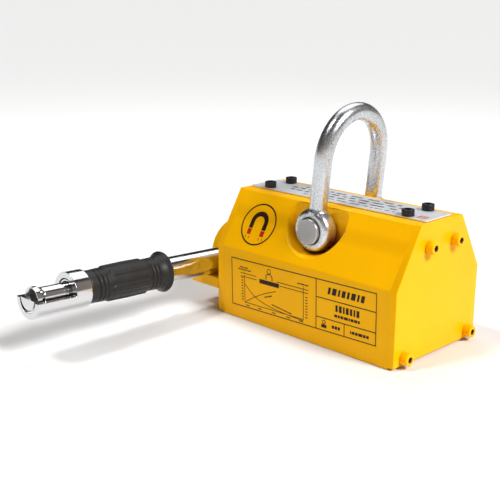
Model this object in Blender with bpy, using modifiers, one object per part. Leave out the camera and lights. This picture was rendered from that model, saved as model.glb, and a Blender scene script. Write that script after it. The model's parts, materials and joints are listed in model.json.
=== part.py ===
"""Switchable permanent lifting magnet, built as separate pieces.

Blender 4.5, metres, +Z up. The origin is the centre of the pole faces' plane, under the shackle.
X runs along the rotor, with the lever at -X. The lever points to the front, -Y, when the magnet is off.
Inside the lever, distances are stations: how far a point is from the rotor's axis.
"""

import math

import bmesh
import bpy
from mathutils import Matrix, Vector

GAP = 0.0003  # between neighbouring pieces

# Body
OVERALL_LENGTH = 0.162  # over the end plates
BODY_WIDTH = 0.092
BODY_HEIGHT = 0.091
SHOULDER_HEIGHT = 0.052  # where the upright sides end
TOP_WIDTH = 0.046
PLATE_THICKNESS = 0.0049
PLATE_LIFT = 0.0014  # the end plates stop this far above the pole faces
EDGE = 0.0012
GROOVE_WIDTH = 0.020
GROOVE_DEPTH = 0.0013
SEPARATOR_WIDTH = 0.010
SEPARATOR_TOP = 0.0107

# Rotor
ROTOR_HEIGHT = 0.0333
ROTOR_RADIUS = 0.0208
BORE_RADIUS = 0.0213
POLE_LENGTH = 0.112
SLAB = 0.010  # thickness of the rotor's magnets
SLAB_WIDTH = 0.0396
FLANGE_THICKNESS = 0.0067
SHAFT_RADIUS = 0.0097
SHAFT_END = 0.101
SHORT_SHAFT_END = 0.0754  # on the side without the lever
FLANGE_SCREW = 0.0145  # from the rotor's axis
BEARING_START = 0.0635
BEARING_WIDTH = 0.012
BALL_RADIUS = 0.003
BALL_CIRCLE = 0.0159
BALL_COUNT = 8
BEARING_OUTSIDE = 0.0210
OUTER_SHOULDER = 0.0176
INNER_SHOULDER = 0.0142

# Fixed magnets above the rotor
STATOR_BOTTOM = 0.0566
STATOR_HEIGHT = 0.0069
STATOR_WIDTH = 0.016

# Shackle
PIN_HEIGHT = 0.075
PIN_RADIUS = 0.009
PIN_HALF_LENGTH = 0.0395
EYE_RADIUS = 0.015
EYE_HOLE = 0.00975
EYE_THICKNESS = 0.013
EYE_OFFSET = 0.0305  # from the middle plane to the middle of each eye
LEG_OFFSET = 0.030  # from the middle plane to each leg's centre line
ROD_RADIUS = 0.00625
BOW_START = 0.047  # above the pin, along the leaning shackle
BOW_RISE = 0.0318
SHACKLE_LEAN = math.radians(5.5)
POCKET_RADIUS = 0.0255
POCKET_HEIGHT = 0.0837
POCKET_FLOOR = 0.0234  # from the middle plane, just clear of the eyes
GRUB_HOLE = 0.0043

# Lever, in stations from the rotor's axis
LEVER_X = -0.0937
LEVER_TILT = math.radians(2.37)  # upwards, where the lever rests on its stop
HUB_RADIUS = 0.0257
HUB_INNER = 0.082
HUB_OUTER = 0.111
TUBE_RADIUS = 0.0095
TUBE_BORE = 0.0075
TUBE_START = 0.015
TUBE_END = 0.1657
GRIP_START = 0.090
GRIP_END = 0.158
BARREL_RADIUS = 0.0132
BARREL_BORE = 0.0087
BARREL_WALL = 0.171  # the barrel is closed up to here and a trough beyond
LEVER_END = 0.200
BUTTON_RADIUS = 0.0065
BUTTON_START = 0.164
BUTTON_HEAD = 0.0080
HEAD_START = 0.1935
HEAD_STEP = 0.1965  # the head's upper half is set back to here
GUIDE_START = 0.119
GUIDE_END = 0.123
PUSH_ROD_RADIUS = 0.003
KEY_START = 0.036
KEY_LENGTH = 0.005
KEY_WIDTH = 0.004
KEY_REACH = 0.0114  # how far the tooth stands out from the lever's axis
BUTTON_TRAVEL = 0.008
SPRING_RADIUS = 0.0052
SPRING_WIRE = 0.0008
SPRING_TURNS = 5

# Screws: head radius, head height, shank radius
M5_CAP = (0.00425, 0.0055, 0.0025)
M5_LOW = (0.00425, 0.0042, 0.0025)
M5_FLAT = (0.005, 0.0025, 0.0025)
M4_CAP = (0.0035, 0.0036, 0.002)
M4_FLAT = (0.0036, 0.0016, 0.002)
M8_CAP = (0.0065, 0.0070, 0.004)
HIGH_SCREW = (0.0144, 0.0758)  # y and z of the end plates' upper and lower screws
LOW_SCREW = (0.0361, 0.0066)
PLATE_SCREW_REACH = 0.062
NAMEPLATE_SIZE = (0.156, 0.0296, 0.001)
NAMEPLATE_SCREW = (0.0615, 0.0112)
STOP_CENTRE = (0.0395, 0.021)  # y and z of each stop block's screw
STOP_INNER = 0.033
STOP_BOTTOM = 0.017
STOP_SCREW_RECESS = 0.004
STOP_SCREW_END = 0.068
KEEPER_STATION = 0.044
KEEPER_X = -0.0836
SEAL_RADIUS = 0.0137

ALONG_X = (0, math.pi / 2, 0)
SECTION = (math.pi / 2, 0, math.pi / 2)  # turns a drawing's x, y and thickness into Y, Z and X

FINISHES = {
    "paint": ((0.90, 0.47, 0.01), 0.28, 0.0),
    "bare_steel": ((0.34, 0.33, 0.32), 0.42, 1.0),
    "zinc": ((0.66, 0.65, 0.62), 0.46, 0.9),
    "aluminium": ((0.74, 0.74, 0.74), 0.36, 1.0),
    "chrome": ((0.82, 0.82, 0.84), 0.08, 1.0),
    "black_steel": ((0.02, 0.02, 0.022), 0.36, 0.6),
    "rubber": ((0.018, 0.018, 0.02), 0.72, 0.0),
    "brass": ((0.72, 0.50, 0.20), 0.34, 1.0),
    "magnet": ((0.50, 0.50, 0.51), 0.30, 1.0),
}


def collection(name):
    made = bpy.data.collections.new(name)
    bpy.context.scene.collection.children.link(made)
    return made


for old in list(bpy.data.objects):
    bpy.data.objects.remove(old, do_unlink=True)
PARTS = collection("lifting_magnet")
CUTTERS = collection("cutters")


def material(name, finish):
    colour, roughness, metallic = FINISHES[finish]
    made = bpy.data.materials.new(name)
    made.use_nodes = True
    made.diffuse_color = (*colour, 1.0)
    shader = made.node_tree.nodes["Principled BSDF"]
    shader.inputs["Base Color"].default_value = (*colour, 1.0)
    shader.inputs["Roughness"].default_value = roughness
    shader.inputs["Metallic"].default_value = metallic
    return made


def placed(name, mesh, finish=None, location=(0, 0, 0), rotation=(0, 0, 0), parent=None):
    """An object for this mesh: a piece if it has a finish, and otherwise a cutter."""
    made = bpy.data.objects.new(name, mesh)
    made.location = location
    made.rotation_euler = rotation
    made.parent = parent
    if finish:
        PARTS.objects.link(made)
        mesh.materials.clear()
        mesh.materials.append(material(name, finish))
    else:
        CUTTERS.objects.link(made)
        made.hide_render = True
        made.display_type = "WIRE"
    return made


def axis_empty(name, location, rotation):
    made = bpy.data.objects.new(name, None)
    made.location = location
    made.rotation_euler = rotation
    PARTS.objects.link(made)
    return made


def mesh_from(bm, name):
    mesh = bpy.data.meshes.new(name)
    bm.to_mesh(mesh)
    bm.free()
    return mesh


def box(name, low, high):
    """A box mesh between two corners."""
    size = [b - a for a, b in zip(low, high)]
    middle = [(a + b) / 2 for a, b in zip(low, high)]
    bm = bmesh.new()
    shape = Matrix.Translation(middle) @ Matrix.Diagonal((*size, 1.0))
    bmesh.ops.create_cube(bm, size=1.0, matrix=shape)
    return mesh_from(bm, name)


def cylinder(name, radius, low, high, sides=24):
    """A closed cylinder mesh along local Z."""
    bm = bmesh.new()
    bmesh.ops.create_cone(
        bm,
        cap_ends=True,
        segments=sides,
        radius1=radius,
        radius2=radius,
        depth=high - low,
        matrix=Matrix.Translation((0, 0, (low + high) / 2)),
    )
    mesh = mesh_from(bm, name)
    mesh.shade_smooth()
    mesh.set_sharp_from_angle(angle=math.radians(40))
    return mesh


def turned(name, profile, finish=None, steps=24, ring=False, **where):
    """A profile of (radius, height) turned about local Z. It runs down the outer side, top to bottom."""
    mesh = bpy.data.meshes.new(name)
    edges = [(i, i + 1) for i in range(len(profile) - 1)]
    if ring:
        edges.append((len(profile) - 1, 0))
    mesh.from_pydata([(radius, 0, height) for radius, height in profile], edges, [])
    made = placed(name, mesh, finish, **where)
    screw = made.modifiers.new("turn", "SCREW")
    screw.steps = steps
    screw.render_steps = steps
    screw.use_merge_vertices = True
    screw.merge_threshold = 0.00001
    return made


def mesh_of_curve(curve, name):
    """The curve's closed mesh, with its caps welded on."""
    guide = bpy.data.objects.new(name, curve)
    PARTS.objects.link(guide)
    graph = bpy.context.evaluated_depsgraph_get()
    mesh = bpy.data.meshes.new_from_object(guide.evaluated_get(graph))
    bpy.data.objects.remove(guide, do_unlink=True)
    bm = bmesh.new()
    bm.from_mesh(mesh)
    bmesh.ops.remove_doubles(bm, verts=bm.verts, dist=0.000002)
    bmesh.ops.recalc_face_normals(bm, faces=bm.faces)
    bm.to_mesh(mesh)
    bm.free()
    return mesh


def extruded(name, outline, thickness):
    """A flat outline in local XY, half its thickness to each side."""
    curve = bpy.data.curves.new(name, "CURVE")
    curve.dimensions = "2D"
    curve.fill_mode = "BOTH"
    curve.extrude = thickness / 2
    spline = curve.splines.new("POLY")
    spline.points.add(len(outline) - 1)
    for point, (x, y) in zip(spline.points, outline):
        point.co = (x, y, 0, 1)
    spline.use_cyclic_u = True
    return mesh_of_curve(curve, name)


def tube_curve(name, points, radius, resolution):
    """A round wire along these points, with filled ends."""
    curve = bpy.data.curves.new(name, "CURVE")
    curve.dimensions = "3D"
    curve.bevel_depth = radius
    curve.bevel_resolution = resolution
    curve.use_fill_caps = True
    spline = curve.splines.new("POLY")
    spline.points.add(len(points) - 1)
    for point, place in zip(spline.points, points):
        point.co = (*place, 1)
    return curve


def boolean(target, other, operation="DIFFERENCE"):
    made = target.modifiers.new(other.name, "BOOLEAN")
    made.operation = operation
    made.solver = "EXACT"
    made.object = other


def facing(direction):
    """The rotation that turns local +Z to this direction."""
    return Vector(direction).to_track_quat("Z", "Y").to_euler()


def drill(targets, name, radius, low, high, location, direction, parent=None, sides=12):
    """Cuts one round hole through each of the targets."""
    cutter = placed(
        name,
        cylinder(name, radius, low, high, sides),
        location=location,
        rotation=facing(direction),
        parent=parent,
    )
    for target in targets:
        boolean(target, cutter)


def cap_profile(size, reach, grow=0.0):
    """A socket head screw, with its seat at height 0 and its shank reaching down."""
    head, height, shank = size
    edge = 0.0004
    return [
        (0, height + grow),
        (head - edge + grow, height + grow),
        (head + grow, height - edge),
        (head + grow, -grow),
        (shank + grow, -grow),
        (shank + grow, -reach - grow),
        (0, -reach - grow),
    ]


def flat_profile(size, reach, grow=0.0):
    """A countersunk screw, flush at height 0."""
    head, height, shank = size
    return [
        (0, 10 * grow),
        (head + grow, 10 * grow),
        (head + grow, -grow),
        (shank + grow, -height - grow),
        (shank + grow, -reach - grow),
        (0, -reach - grow),
    ]


def screw(name, profile, finish, location, direction, key, parent=None):
    """A screw with a hexagonal socket. key is the socket's radius, its top and its depth."""
    rotation = facing(direction)
    made = turned(
        name, profile, finish, steps=12, location=location, rotation=rotation, parent=parent
    )
    radius, top, depth = key
    socket = cylinder(name + "_socket", radius, top - depth, top + 0.001, sides=6)
    cutter = placed(
        name + "_socket", socket, location=location, rotation=rotation, parent=parent
    )
    boolean(made, cutter)
    return made


# The outline shared by the body and its end plates

HALF = BODY_WIDTH / 2
HALF_TOP = TOP_WIDTH / 2
PLATE_INNER = OVERALL_LENGTH / 2 - PLATE_THICKNESS
BLOCK_HALF = PLATE_INNER - GAP

# The lever's underside over a stop block's inner edge, less the gap
STOP_TOP = (
    ROTOR_HEIGHT + STOP_INNER * math.tan(LEVER_TILT) - TUBE_RADIUS / math.cos(LEVER_TILT) - GAP
)


def upper_outline():
    return [
        (HALF, SHOULDER_HEIGHT),
        (HALF_TOP, BODY_HEIGHT),
        (-HALF_TOP, BODY_HEIGHT),
        (-HALF, SHOULDER_HEIGHT),
    ]


def body_outline():
    groove, slot = GROOVE_WIDTH / 2, SEPARATOR_WIDTH / 2
    foot = [
        (-HALF, 0),
        (-groove, 0),
        (-slot, GROOVE_DEPTH),
        (-slot, SEPARATOR_TOP + GAP),
        (slot, SEPARATOR_TOP + GAP),
        (slot, GROOVE_DEPTH),
        (groove, 0),
        (HALF, 0),
    ]
    return foot + upper_outline()


def make_body():
    body = placed(
        "main_body",
        extruded("main_body", body_outline(), 2 * BLOCK_HALF),
        "paint",
        rotation=SECTION,
    )
    reach = BLOCK_HALF + 0.01
    bore = cylinder("bore", BORE_RADIUS, -reach, reach, sides=40)
    slot = box(
        "stator_slot",
        (-reach, -STATOR_WIDTH / 2 - GAP, STATOR_BOTTOM - GAP),
        (reach, STATOR_WIDTH / 2 + GAP, STATOR_BOTTOM + STATOR_HEIGHT + GAP),
    )
    boolean(body, placed("bore", bore, location=(0, 0, ROTOR_HEIGHT), rotation=ALONG_X))
    boolean(body, placed("stator_slot", slot))
    for side in (-1, 1):
        name = "front_pocket" if side < 0 else "rear_pocket"
        pocket = cylinder(name, POCKET_RADIUS, POCKET_FLOOR, HALF + 0.01, sides=32)
        place = (0, 0, POCKET_HEIGHT)
        boolean(body, placed(name, pocket, location=place, rotation=facing((0, side, 0))))
    pin_place = (0, 0, PIN_HEIGHT)
    drill([body], "pin_hole", PIN_RADIUS + GAP, -HALF, HALF, pin_place, (0, 1, 0), sides=24)
    drill([body], "grub_hole", GRUB_HOLE, 0.001, 0.02, pin_place, (0, 0, 1))
    return body


def make_separator():
    reach = BLOCK_HALF - GAP
    half = SEPARATOR_WIDTH / 2 - GAP
    mesh = box("pole_separator", (-reach, -half, GROOVE_DEPTH), (reach, half, SEPARATOR_TOP))
    placed("pole_separator", mesh, "brass")


def make_stator_magnets():
    for side, name in ((-1, "stator_magnet_left"), (1, "stator_magnet_right")):
        ends = sorted((side * GAP / 2, side * (BLOCK_HALF - GAP)))
        half = STATOR_WIDTH / 2
        low = (ends[0], -half, STATOR_BOTTOM)
        high = (ends[1], half, STATOR_BOTTOM + STATOR_HEIGHT)
        placed(name, box(name, low, high), "magnet")


def make_end_plate(name, side):
    foot = [(-HALF, PLATE_LIFT), (HALF, PLATE_LIFT)]
    plate = placed(
        name,
        extruded(name, foot + upper_outline(), PLATE_THICKNESS),
        "paint",
        location=(side * (OVERALL_LENGTH - PLATE_THICKNESS) / 2, 0, 0),
        rotation=SECTION,
    )
    bevel = plate.modifiers.new("edges", "BEVEL")
    bevel.width = EDGE
    bevel.segments = 1
    bevel.limit_method = "ANGLE"
    return plate


def end_screw_places():
    for label, (y, z) in (("upper", HIGH_SCREW), ("lower", LOW_SCREW)):
        for where, side in (("front", -1), ("rear", 1)):
            yield f"{label}_{where}", (side * y, z)


def make_right_screws(body, plate):
    face = OVERALL_LENGTH / 2
    reach = face - PLATE_SCREW_REACH
    for label, (y, z) in end_screw_places():
        place = (face + GAP, y, z)
        name = "right_plate_screw_" + label
        profile = cap_profile(M5_CAP, reach)
        screw(name, profile, "paint", place, (1, 0, 0), (0.0023, M5_CAP[1], 0.0032))
        hole = M5_CAP[2] + GAP
        drill([body, plate], name + "_hole", hole, -reach - GAP, 0.001, place, (1, 0, 0))


def make_left_screws(body, plate):
    """Countersunk, because the lever sweeps past them."""
    face = OVERALL_LENGTH / 2
    reach = face - PLATE_SCREW_REACH
    for label, (y, z) in end_screw_places():
        place = (-face, y, z)
        name = "left_plate_screw_" + label
        profile = flat_profile(M5_FLAT, reach)
        screw(name, profile, "black_steel", place, (-1, 0, 0), (0.0017, 0, 0.002))
        profile = flat_profile(M5_FLAT, reach, GAP)
        seat = turned(name + "_hole", profile, steps=12, location=place, rotation=facing((-1, 0, 0)))
        for target in (body, plate):
            boolean(target, seat)


def stop_outline():
    """A stop block's section, whose top follows the resting lever's underside."""
    rise = (HALF - STOP_INNER) * math.tan(LEVER_TILT)
    return [
        (STOP_INNER, STOP_BOTTOM),
        (HALF, STOP_BOTTOM),
        (HALF, STOP_TOP + rise),
        (STOP_INNER, STOP_TOP),
    ]


def make_stops(body, plate):
    inner = OVERALL_LENGTH / 2 + GAP
    y, z = STOP_CENTRE
    for side, name in ((-1, "front_stop_block"), (1, "rear_stop_block")):
        outline = [(side * across, up) for across, up in stop_outline()]
        block = placed(
            name,
            extruded(name, outline, HUB_OUTER - inner),
            "paint",
            location=(-(HUB_OUTER + inner) / 2, 0, 0),
            rotation=SECTION,
        )
        start = HUB_OUTER - STOP_SCREW_RECESS
        place = (-start, side * y, z)
        reach = start - STOP_SCREW_END
        label = name.replace("block", "screw")
        profile = cap_profile(M4_CAP, reach)
        screw(label, profile, "black_steel", place, (-1, 0, 0), (0.0017, M4_CAP[1], 0.002))
        mouth = STOP_SCREW_RECESS + 0.002
        profile = cap_profile(M4_CAP, reach, GAP)
        profile[0:3] = [(0, mouth), (M4_CAP[0] + GAP, mouth)]
        seat = turned(label + "_hole", profile, steps=12, location=place, rotation=facing((-1, 0, 0)))
        for target in (block, plate, body):
            boolean(target, seat)


def make_nameplate(body):
    length, width, thickness = NAMEPLATE_SIZE
    bottom = BODY_HEIGHT + GAP
    plate = placed(
        "nameplate",
        box(
            "nameplate",
            (-length / 2, -width / 2, bottom),
            (length / 2, width / 2, bottom + thickness),
        ),
        "aluminium",
    )
    x, y = NAMEPLATE_SCREW
    for label, across, along in (
        ("front_left", -1, -1),
        ("front_right", 1, -1),
        ("rear_left", -1, 1),
        ("rear_right", 1, 1),
    ):
        name = "nameplate_screw_" + label
        place = (across * x, along * y, bottom + thickness + GAP)
        reach = 0.010
        profile = cap_profile(M5_LOW, reach)
        screw(name, profile, "black_steel", place, (0, 0, 1), (0.0023, M5_LOW[1], 0.0024))
        hole = M5_LOW[2] + GAP
        drill([plate, body], name + "_hole", hole, -reach - GAP, 0.001, place, (0, 0, 1))


def make_pin():
    edge = 0.0008
    half = PIN_HALF_LENGTH
    profile = [
        (0, half),
        (PIN_RADIUS - edge, half),
        (PIN_RADIUS, half - edge),
        (PIN_RADIUS, edge - half),
        (PIN_RADIUS - edge, -half),
        (0, -half),
    ]
    place = (0, 0, PIN_HEIGHT)
    turned("shackle_pin", profile, "bare_steel", 24, location=place, rotation=facing((0, 1, 0)))
    bottom = PIN_HEIGHT + PIN_RADIUS + GAP
    grub = [(0, 0.0062), (0.0036, 0.0062), (0.004, 0.0058), (0.004, 0), (0, 0)]
    screw("pin_grub_screw", grub, "black_steel", (0, 0, bottom), (0, 0, 1), (0.0022, 0.0062, 0.003))


def make_seal(plate):
    face = OVERALL_LENGTH / 2
    middle = (-face + PLATE_THICKNESS / 2, 0, ROTOR_HEIGHT)
    half = PLATE_THICKNESS / 2 - GAP
    outer, inner = SEAL_RADIUS, SHAFT_RADIUS + GAP
    ring = [(outer, half), (outer, -half), (inner, -half), (inner, half)]
    turned("shaft_seal", ring, "rubber", 20, True, location=middle, rotation=ALONG_X)
    drill([plate], "seal_hole", outer + GAP, -0.01, 0.01, middle, (1, 0, 0), sides=24)


def make_keeper(plate, body):
    """A pin beside the latch key's path, where the lever rests when the magnet is on."""
    radius, length, edge = 0.0023, 0.0125, 0.0004
    place = (
        KEEPER_X,
        KEEPER_STATION * math.cos(LEVER_TILT),
        ROTOR_HEIGHT + KEEPER_STATION * math.sin(LEVER_TILT),
    )
    profile = [(0, 0), (radius - edge, 0), (radius, -edge), (radius, -length), (0, -length)]
    away = facing((-1, 0, 0))
    turned("keeper_pin", profile, "bare_steel", 12, location=place, rotation=away)
    drill([plate, body], "keeper_hole", radius + GAP, -length - GAP, 0.001, place, (-1, 0, 0))


def bearing_ring(name, side, wall, shoulder, outward, parent=None):
    """One ring of a bearing: its plain wall, and its shoulders with the balls' groove between them."""
    half = BEARING_WIDTH / 2
    groove = shoulder + outward * 0.0017
    lip, bed = 0.0033, 0.0016
    track = [
        (shoulder, half),
        (shoulder, lip),
        (groove, bed),
        (groove, -bed),
        (shoulder, -lip),
        (shoulder, -half),
    ]
    if outward > 0:
        profile = [(wall, half), (wall, -half)] + track[::-1]
    else:
        profile = track + [(wall, -half), (wall, half)]
    place = (side * (BEARING_START + half), 0, 0 if parent else ROTOR_HEIGHT)
    turned(name, profile, "bare_steel", 20, True, location=place, rotation=ALONG_X, parent=parent)


def make_balls(name, side, parent):
    """The balls, held together by their cage."""
    place = (side * (BEARING_START + BEARING_WIDTH / 2), 0, 0)
    half, thin = 0.0018, 0.0006
    outer, inner = BALL_CIRCLE + thin, BALL_CIRCLE - thin
    ring = [(outer, half), (outer, -half), (inner, -half), (inner, half)]
    cage = turned(name, ring, "brass", 16, True, location=place, rotation=ALONG_X, parent=parent)
    for index in range(BALL_COUNT):
        angle = 2 * math.pi * index / BALL_COUNT
        bm = bmesh.new()
        centre = Matrix.Translation((BALL_CIRCLE * math.cos(angle), BALL_CIRCLE * math.sin(angle), 0))
        bmesh.ops.create_uvsphere(bm, u_segments=6, v_segments=4, radius=BALL_RADIUS, matrix=centre)
        ball = mesh_from(bm, f"{name}_{index}")
        helper = placed(f"{name}_{index}", ball, location=place, rotation=ALONG_X, parent=parent)
        boolean(cage, helper, "UNION")


def make_bearings(rotor):
    for side, label in ((-1, "left"), (1, "right")):
        outer, inner = f"bearing_{label}_outer_ring", f"bearing_{label}_inner_ring"
        bearing_ring(outer, side, BEARING_OUTSIDE, OUTER_SHOULDER, 1)
        bearing_ring(inner, side, SHAFT_RADIUS + GAP, INNER_SHOULDER, -1, rotor)
        make_balls(f"bearing_{label}_balls", side, rotor)


def pole_outline():
    """The D of one rotor pole, on the +x side of the drawing."""
    flat = SLAB / 2 + GAP
    swing = math.acos(flat / ROTOR_RADIUS)
    steps = 16
    angles = [swing * (2 * index / steps - 1) for index in range(steps + 1)]
    return [(ROTOR_RADIUS * math.cos(angle), ROTOR_RADIUS * math.sin(angle)) for angle in angles]


def make_rotor(rotor):
    half = POLE_LENGTH / 2
    poles = []
    for side, name in ((-1, "rotor_pole_front"), (1, "rotor_pole_rear")):
        outline = [(side * across, up) for across, up in pole_outline()]
        mesh = extruded(name, outline, POLE_LENGTH)
        poles.append(placed(name, mesh, "bare_steel", rotation=SECTION, parent=rotor))
    for side, name in ((-1, "rotor_magnet_left"), (1, "rotor_magnet_right")):
        ends = sorted((side * GAP / 2, side * half))
        low = (ends[0], -SLAB / 2, -SLAB_WIDTH / 2)
        high = (ends[1], SLAB / 2, SLAB_WIDTH / 2)
        mesh = box(name, low, high)
        placed(name, mesh, "magnet", parent=rotor)
    start = half + GAP
    face = start + FLANGE_THICKNESS
    flanges = {}
    edge, reach = 0.0005, 0.017
    for side, label, end in ((-1, "left", SHAFT_END), (1, "right", SHORT_SHAFT_END)):
        profile = [
            (0, end),
            (SHAFT_RADIUS - edge, end),
            (SHAFT_RADIUS, end - edge),
            (SHAFT_RADIUS, face),
            (ROTOR_RADIUS, face),
            (ROTOR_RADIUS, start),
            (0, start),
        ]
        name = f"rotor_flange_{label}"
        turning = facing((side, 0, 0))
        flange = turned(name, profile, "bare_steel", 24, rotation=turning, parent=rotor)
        flanges[label] = flange
        for where, pole in zip((-1, 1), poles):
            place = (side * face, where * FLANGE_SCREW, 0)
            title = f"{name}_screw_" + ("front" if where < 0 else "rear")
            profile = flat_profile(M4_FLAT, reach)
            key = (0.0013, 0, 0.0014)
            screw(title, profile, "black_steel", place, (side, 0, 0), key, rotor)
            profile = flat_profile(M4_FLAT, reach, GAP)
            where_to = {"location": place, "rotation": turning, "parent": rotor}
            seat = turned(title + "_hole", profile, steps=12, **where_to)
            for target in (flange, pole):
                boolean(target, seat)
    return flanges["left"]


def make_hub(rotor, lever, shaft):
    """The hub, with the key, washer and screw that hold it on the shaft."""
    edge, recess, step = 0.001, 0.0123, SHAFT_END
    bore = SHAFT_RADIUS + GAP
    profile = [
        (HUB_RADIUS - edge, HUB_OUTER),
        (HUB_RADIUS, HUB_OUTER - edge),
        (HUB_RADIUS, HUB_INNER + edge),
        (HUB_RADIUS - edge, HUB_INNER),
        (bore, HUB_INNER),
        (bore, step),
        (recess, step),
        (recess, HUB_OUTER),
    ]
    away = facing((-1, 0, 0))
    hub = turned("lever_hub", profile, "paint", 36, True, rotation=away, parent=rotor)
    radius, start = TUBE_RADIUS + GAP, TUBE_START - GAP
    drill([hub], "tube_socket", radius, start, 0.03, (0, 0, 0), (0, 0, 1), lever, 24)

    half, low, high = 0.0015, 0.0082, 0.0113  # the key's half width, and its height from the axis
    ends = (-0.0985, -0.086)
    key = box("hub_key", (ends[0], low, -half), (ends[1], high, half))
    placed("hub_key", key, "bare_steel", parent=rotor)
    slot = box(
        "keyway",
        (ends[0] - GAP, low - GAP, -half - GAP),
        (ends[1] + GAP, high + GAP, half + GAP),
    )
    keyway = placed("keyway", slot, parent=rotor)
    boolean(hub, keyway)
    boolean(shaft, keyway)

    seat = -step - GAP
    outer, hole, thickness, reach = 0.012, M8_CAP[2] + GAP, 0.0017, 0.014
    ring = [(outer, thickness), (outer, 0), (hole, 0), (hole, thickness)]
    turned("hub_washer", ring, "zinc", 20, True, location=(seat, 0, 0), rotation=away, parent=rotor)
    place = (seat - thickness - GAP, 0, 0)
    profile = cap_profile(M8_CAP, reach)
    key = (0.0034, M8_CAP[1], 0.0035)
    screw("hub_screw", profile, "black_steel", place, (-1, 0, 0), key, rotor)
    drill([shaft], "hub_screw_hole", hole, -reach - 2 * GAP, 0.01, place, (-1, 0, 0), rotor)
    return hub


def make_tube(lever, hub):
    profile = [
        (TUBE_RADIUS, TUBE_END),
        (TUBE_RADIUS, TUBE_START),
        (TUBE_BORE, TUBE_START),
        (TUBE_BORE, TUBE_END),
    ]
    tube = turned("lever_tube", profile, "chrome", 28, True, parent=lever)
    half, spare = KEY_WIDTH / 2 + 0.0004, 0.0006
    low = (0.004, -half, KEY_START - BUTTON_TRAVEL - spare)
    high = (0.014, half, KEY_START + KEY_LENGTH + spare)
    boolean(tube, placed("key_slot", box("key_slot", low, high), parent=lever))

    radius, length, recess, station = 0.0025, 0.0066, 0.0004, 0.0195
    place = (recess - HUB_OUTER - LEVER_X, 0, station)
    profile = [(0, 0), (radius, 0), (radius, -length), (0, -length)]
    screw("lever_set_screw", profile, "black_steel", place, (-1, 0, 0), (0.0014, 0, 0.0025), lever)
    drill([hub], "set_screw_hole", radius + GAP, -0.009, 0.003, place, (-1, 0, 0), lever)
    return tube


def make_grip(lever):
    inner = TUBE_RADIUS + GAP
    profile = [
        (0.0105, GRIP_END),
        (0.0113, GRIP_END - 0.0008),
        (0.0117, 0.143),
        (0.0123, 0.136),
        (0.0123, 0.112),
        (0.0117, 0.105),
        (0.0117, 0.0950),
        (0.0148, 0.0920),
        (0.0148, GRIP_START),
        (inner, GRIP_START),
        (inner, GRIP_END),
    ]
    turned("grip", profile, "rubber", 24, True, parent=lever)


def make_barrel(lever, tube):
    """The end barrel: a socket for the tube, then a wall, then a trough that is open above."""
    socket, wall_start = TUBE_RADIUS + GAP, TUBE_END + GAP
    start = GRIP_END + GAP
    edge = 0.001
    profile = [
        (BARREL_RADIUS - edge, LEVER_END),
        (BARREL_RADIUS, LEVER_END - edge),
        (BARREL_RADIUS, start + edge),
        (BARREL_RADIUS - edge, start),
        (socket, start),
        (socket, wall_start),
        (BARREL_BORE, wall_start),
        (BARREL_BORE, LEVER_END),
    ]
    barrel = turned("latch_barrel", profile, "chrome", 28, True, parent=lever)
    opening = box("trough", (-0.02, -GAP, BARREL_WALL), (0.02, 0.02, LEVER_END + 0.01))
    boolean(barrel, placed("trough", opening, parent=lever))

    outer, inner = BARREL_BORE - GAP, BUTTON_RADIUS + GAP
    low, high = wall_start + GAP, BARREL_WALL - GAP
    ring = [(outer, high), (outer, low), (inner, low), (inner, high)]
    turned("button_bush", ring, "chrome", 16, True, parent=lever)

    place = (0, 0, 0.162)
    radius = 0.0015
    pin = cylinder("barrel_pin", radius, TUBE_BORE + 0.0005, BARREL_RADIUS - 0.0004, 16)
    placed("barrel_pin", pin, "bare_steel", place, facing((0, -1, 0)), lever)
    drill([barrel, tube], "barrel_pin_hole", radius + GAP, 0.004, 0.02, place, (0, -1, 0), lever)


def make_guide(lever):
    outer, hole = TUBE_BORE - GAP, PUSH_ROD_RADIUS + GAP
    ring = [(outer, GUIDE_END), (outer, GUIDE_START), (hole, GUIDE_START), (hole, GUIDE_END)]
    turned("rod_guide", ring, "brass", 16, True, parent=lever)


def make_button(button):
    """The thumb button, its push rod, and the latch key on the rod's inner end."""
    edge, neck, head = 0.0006, 0.0045, BUTTON_HEAD
    rod_end = HEAD_START - 0.0025
    profile = [
        (0, LEVER_END),
        (head - edge, LEVER_END),
        (head, LEVER_END - edge),
        (head, HEAD_START),
        (neck, HEAD_START),
        (neck, rod_end),
        (BUTTON_RADIUS - edge, rod_end),
        (BUTTON_RADIUS, rod_end - edge),
        (BUTTON_RADIUS, BUTTON_START),
        (0, BUTTON_START),
    ]
    thumb = turned("thumb_button", profile, "chrome", 20, parent=button)
    step = box("thumb_step", (-0.01, GAP, HEAD_STEP), (0.01, 0.01, LEVER_END + 0.001))
    boolean(thumb, placed("thumb_step", step, parent=button))
    low, high = KEY_START - 0.003, BUTTON_START - GAP
    rod = cylinder("push_rod", PUSH_ROD_RADIUS, low, high, 16)
    placed("push_rod", rod, "bare_steel", parent=button)

    collar, hole = 0.0065, PUSH_ROD_RADIUS + GAP
    low, high = KEY_START - 0.001, KEY_START + KEY_LENGTH + 0.001
    ring = [(collar, high), (collar, low), (hole, low), (hole, high)]
    key = turned("latch_key", ring, "bare_steel", 16, True, parent=button)
    low = (0.005, -KEY_WIDTH / 2, KEY_START)
    high = (KEY_REACH, KEY_WIDTH / 2, KEY_START + KEY_LENGTH)
    tooth = box("latch_tooth", low, high)
    boolean(key, placed("latch_tooth", tooth, parent=button), "UNION")


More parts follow.
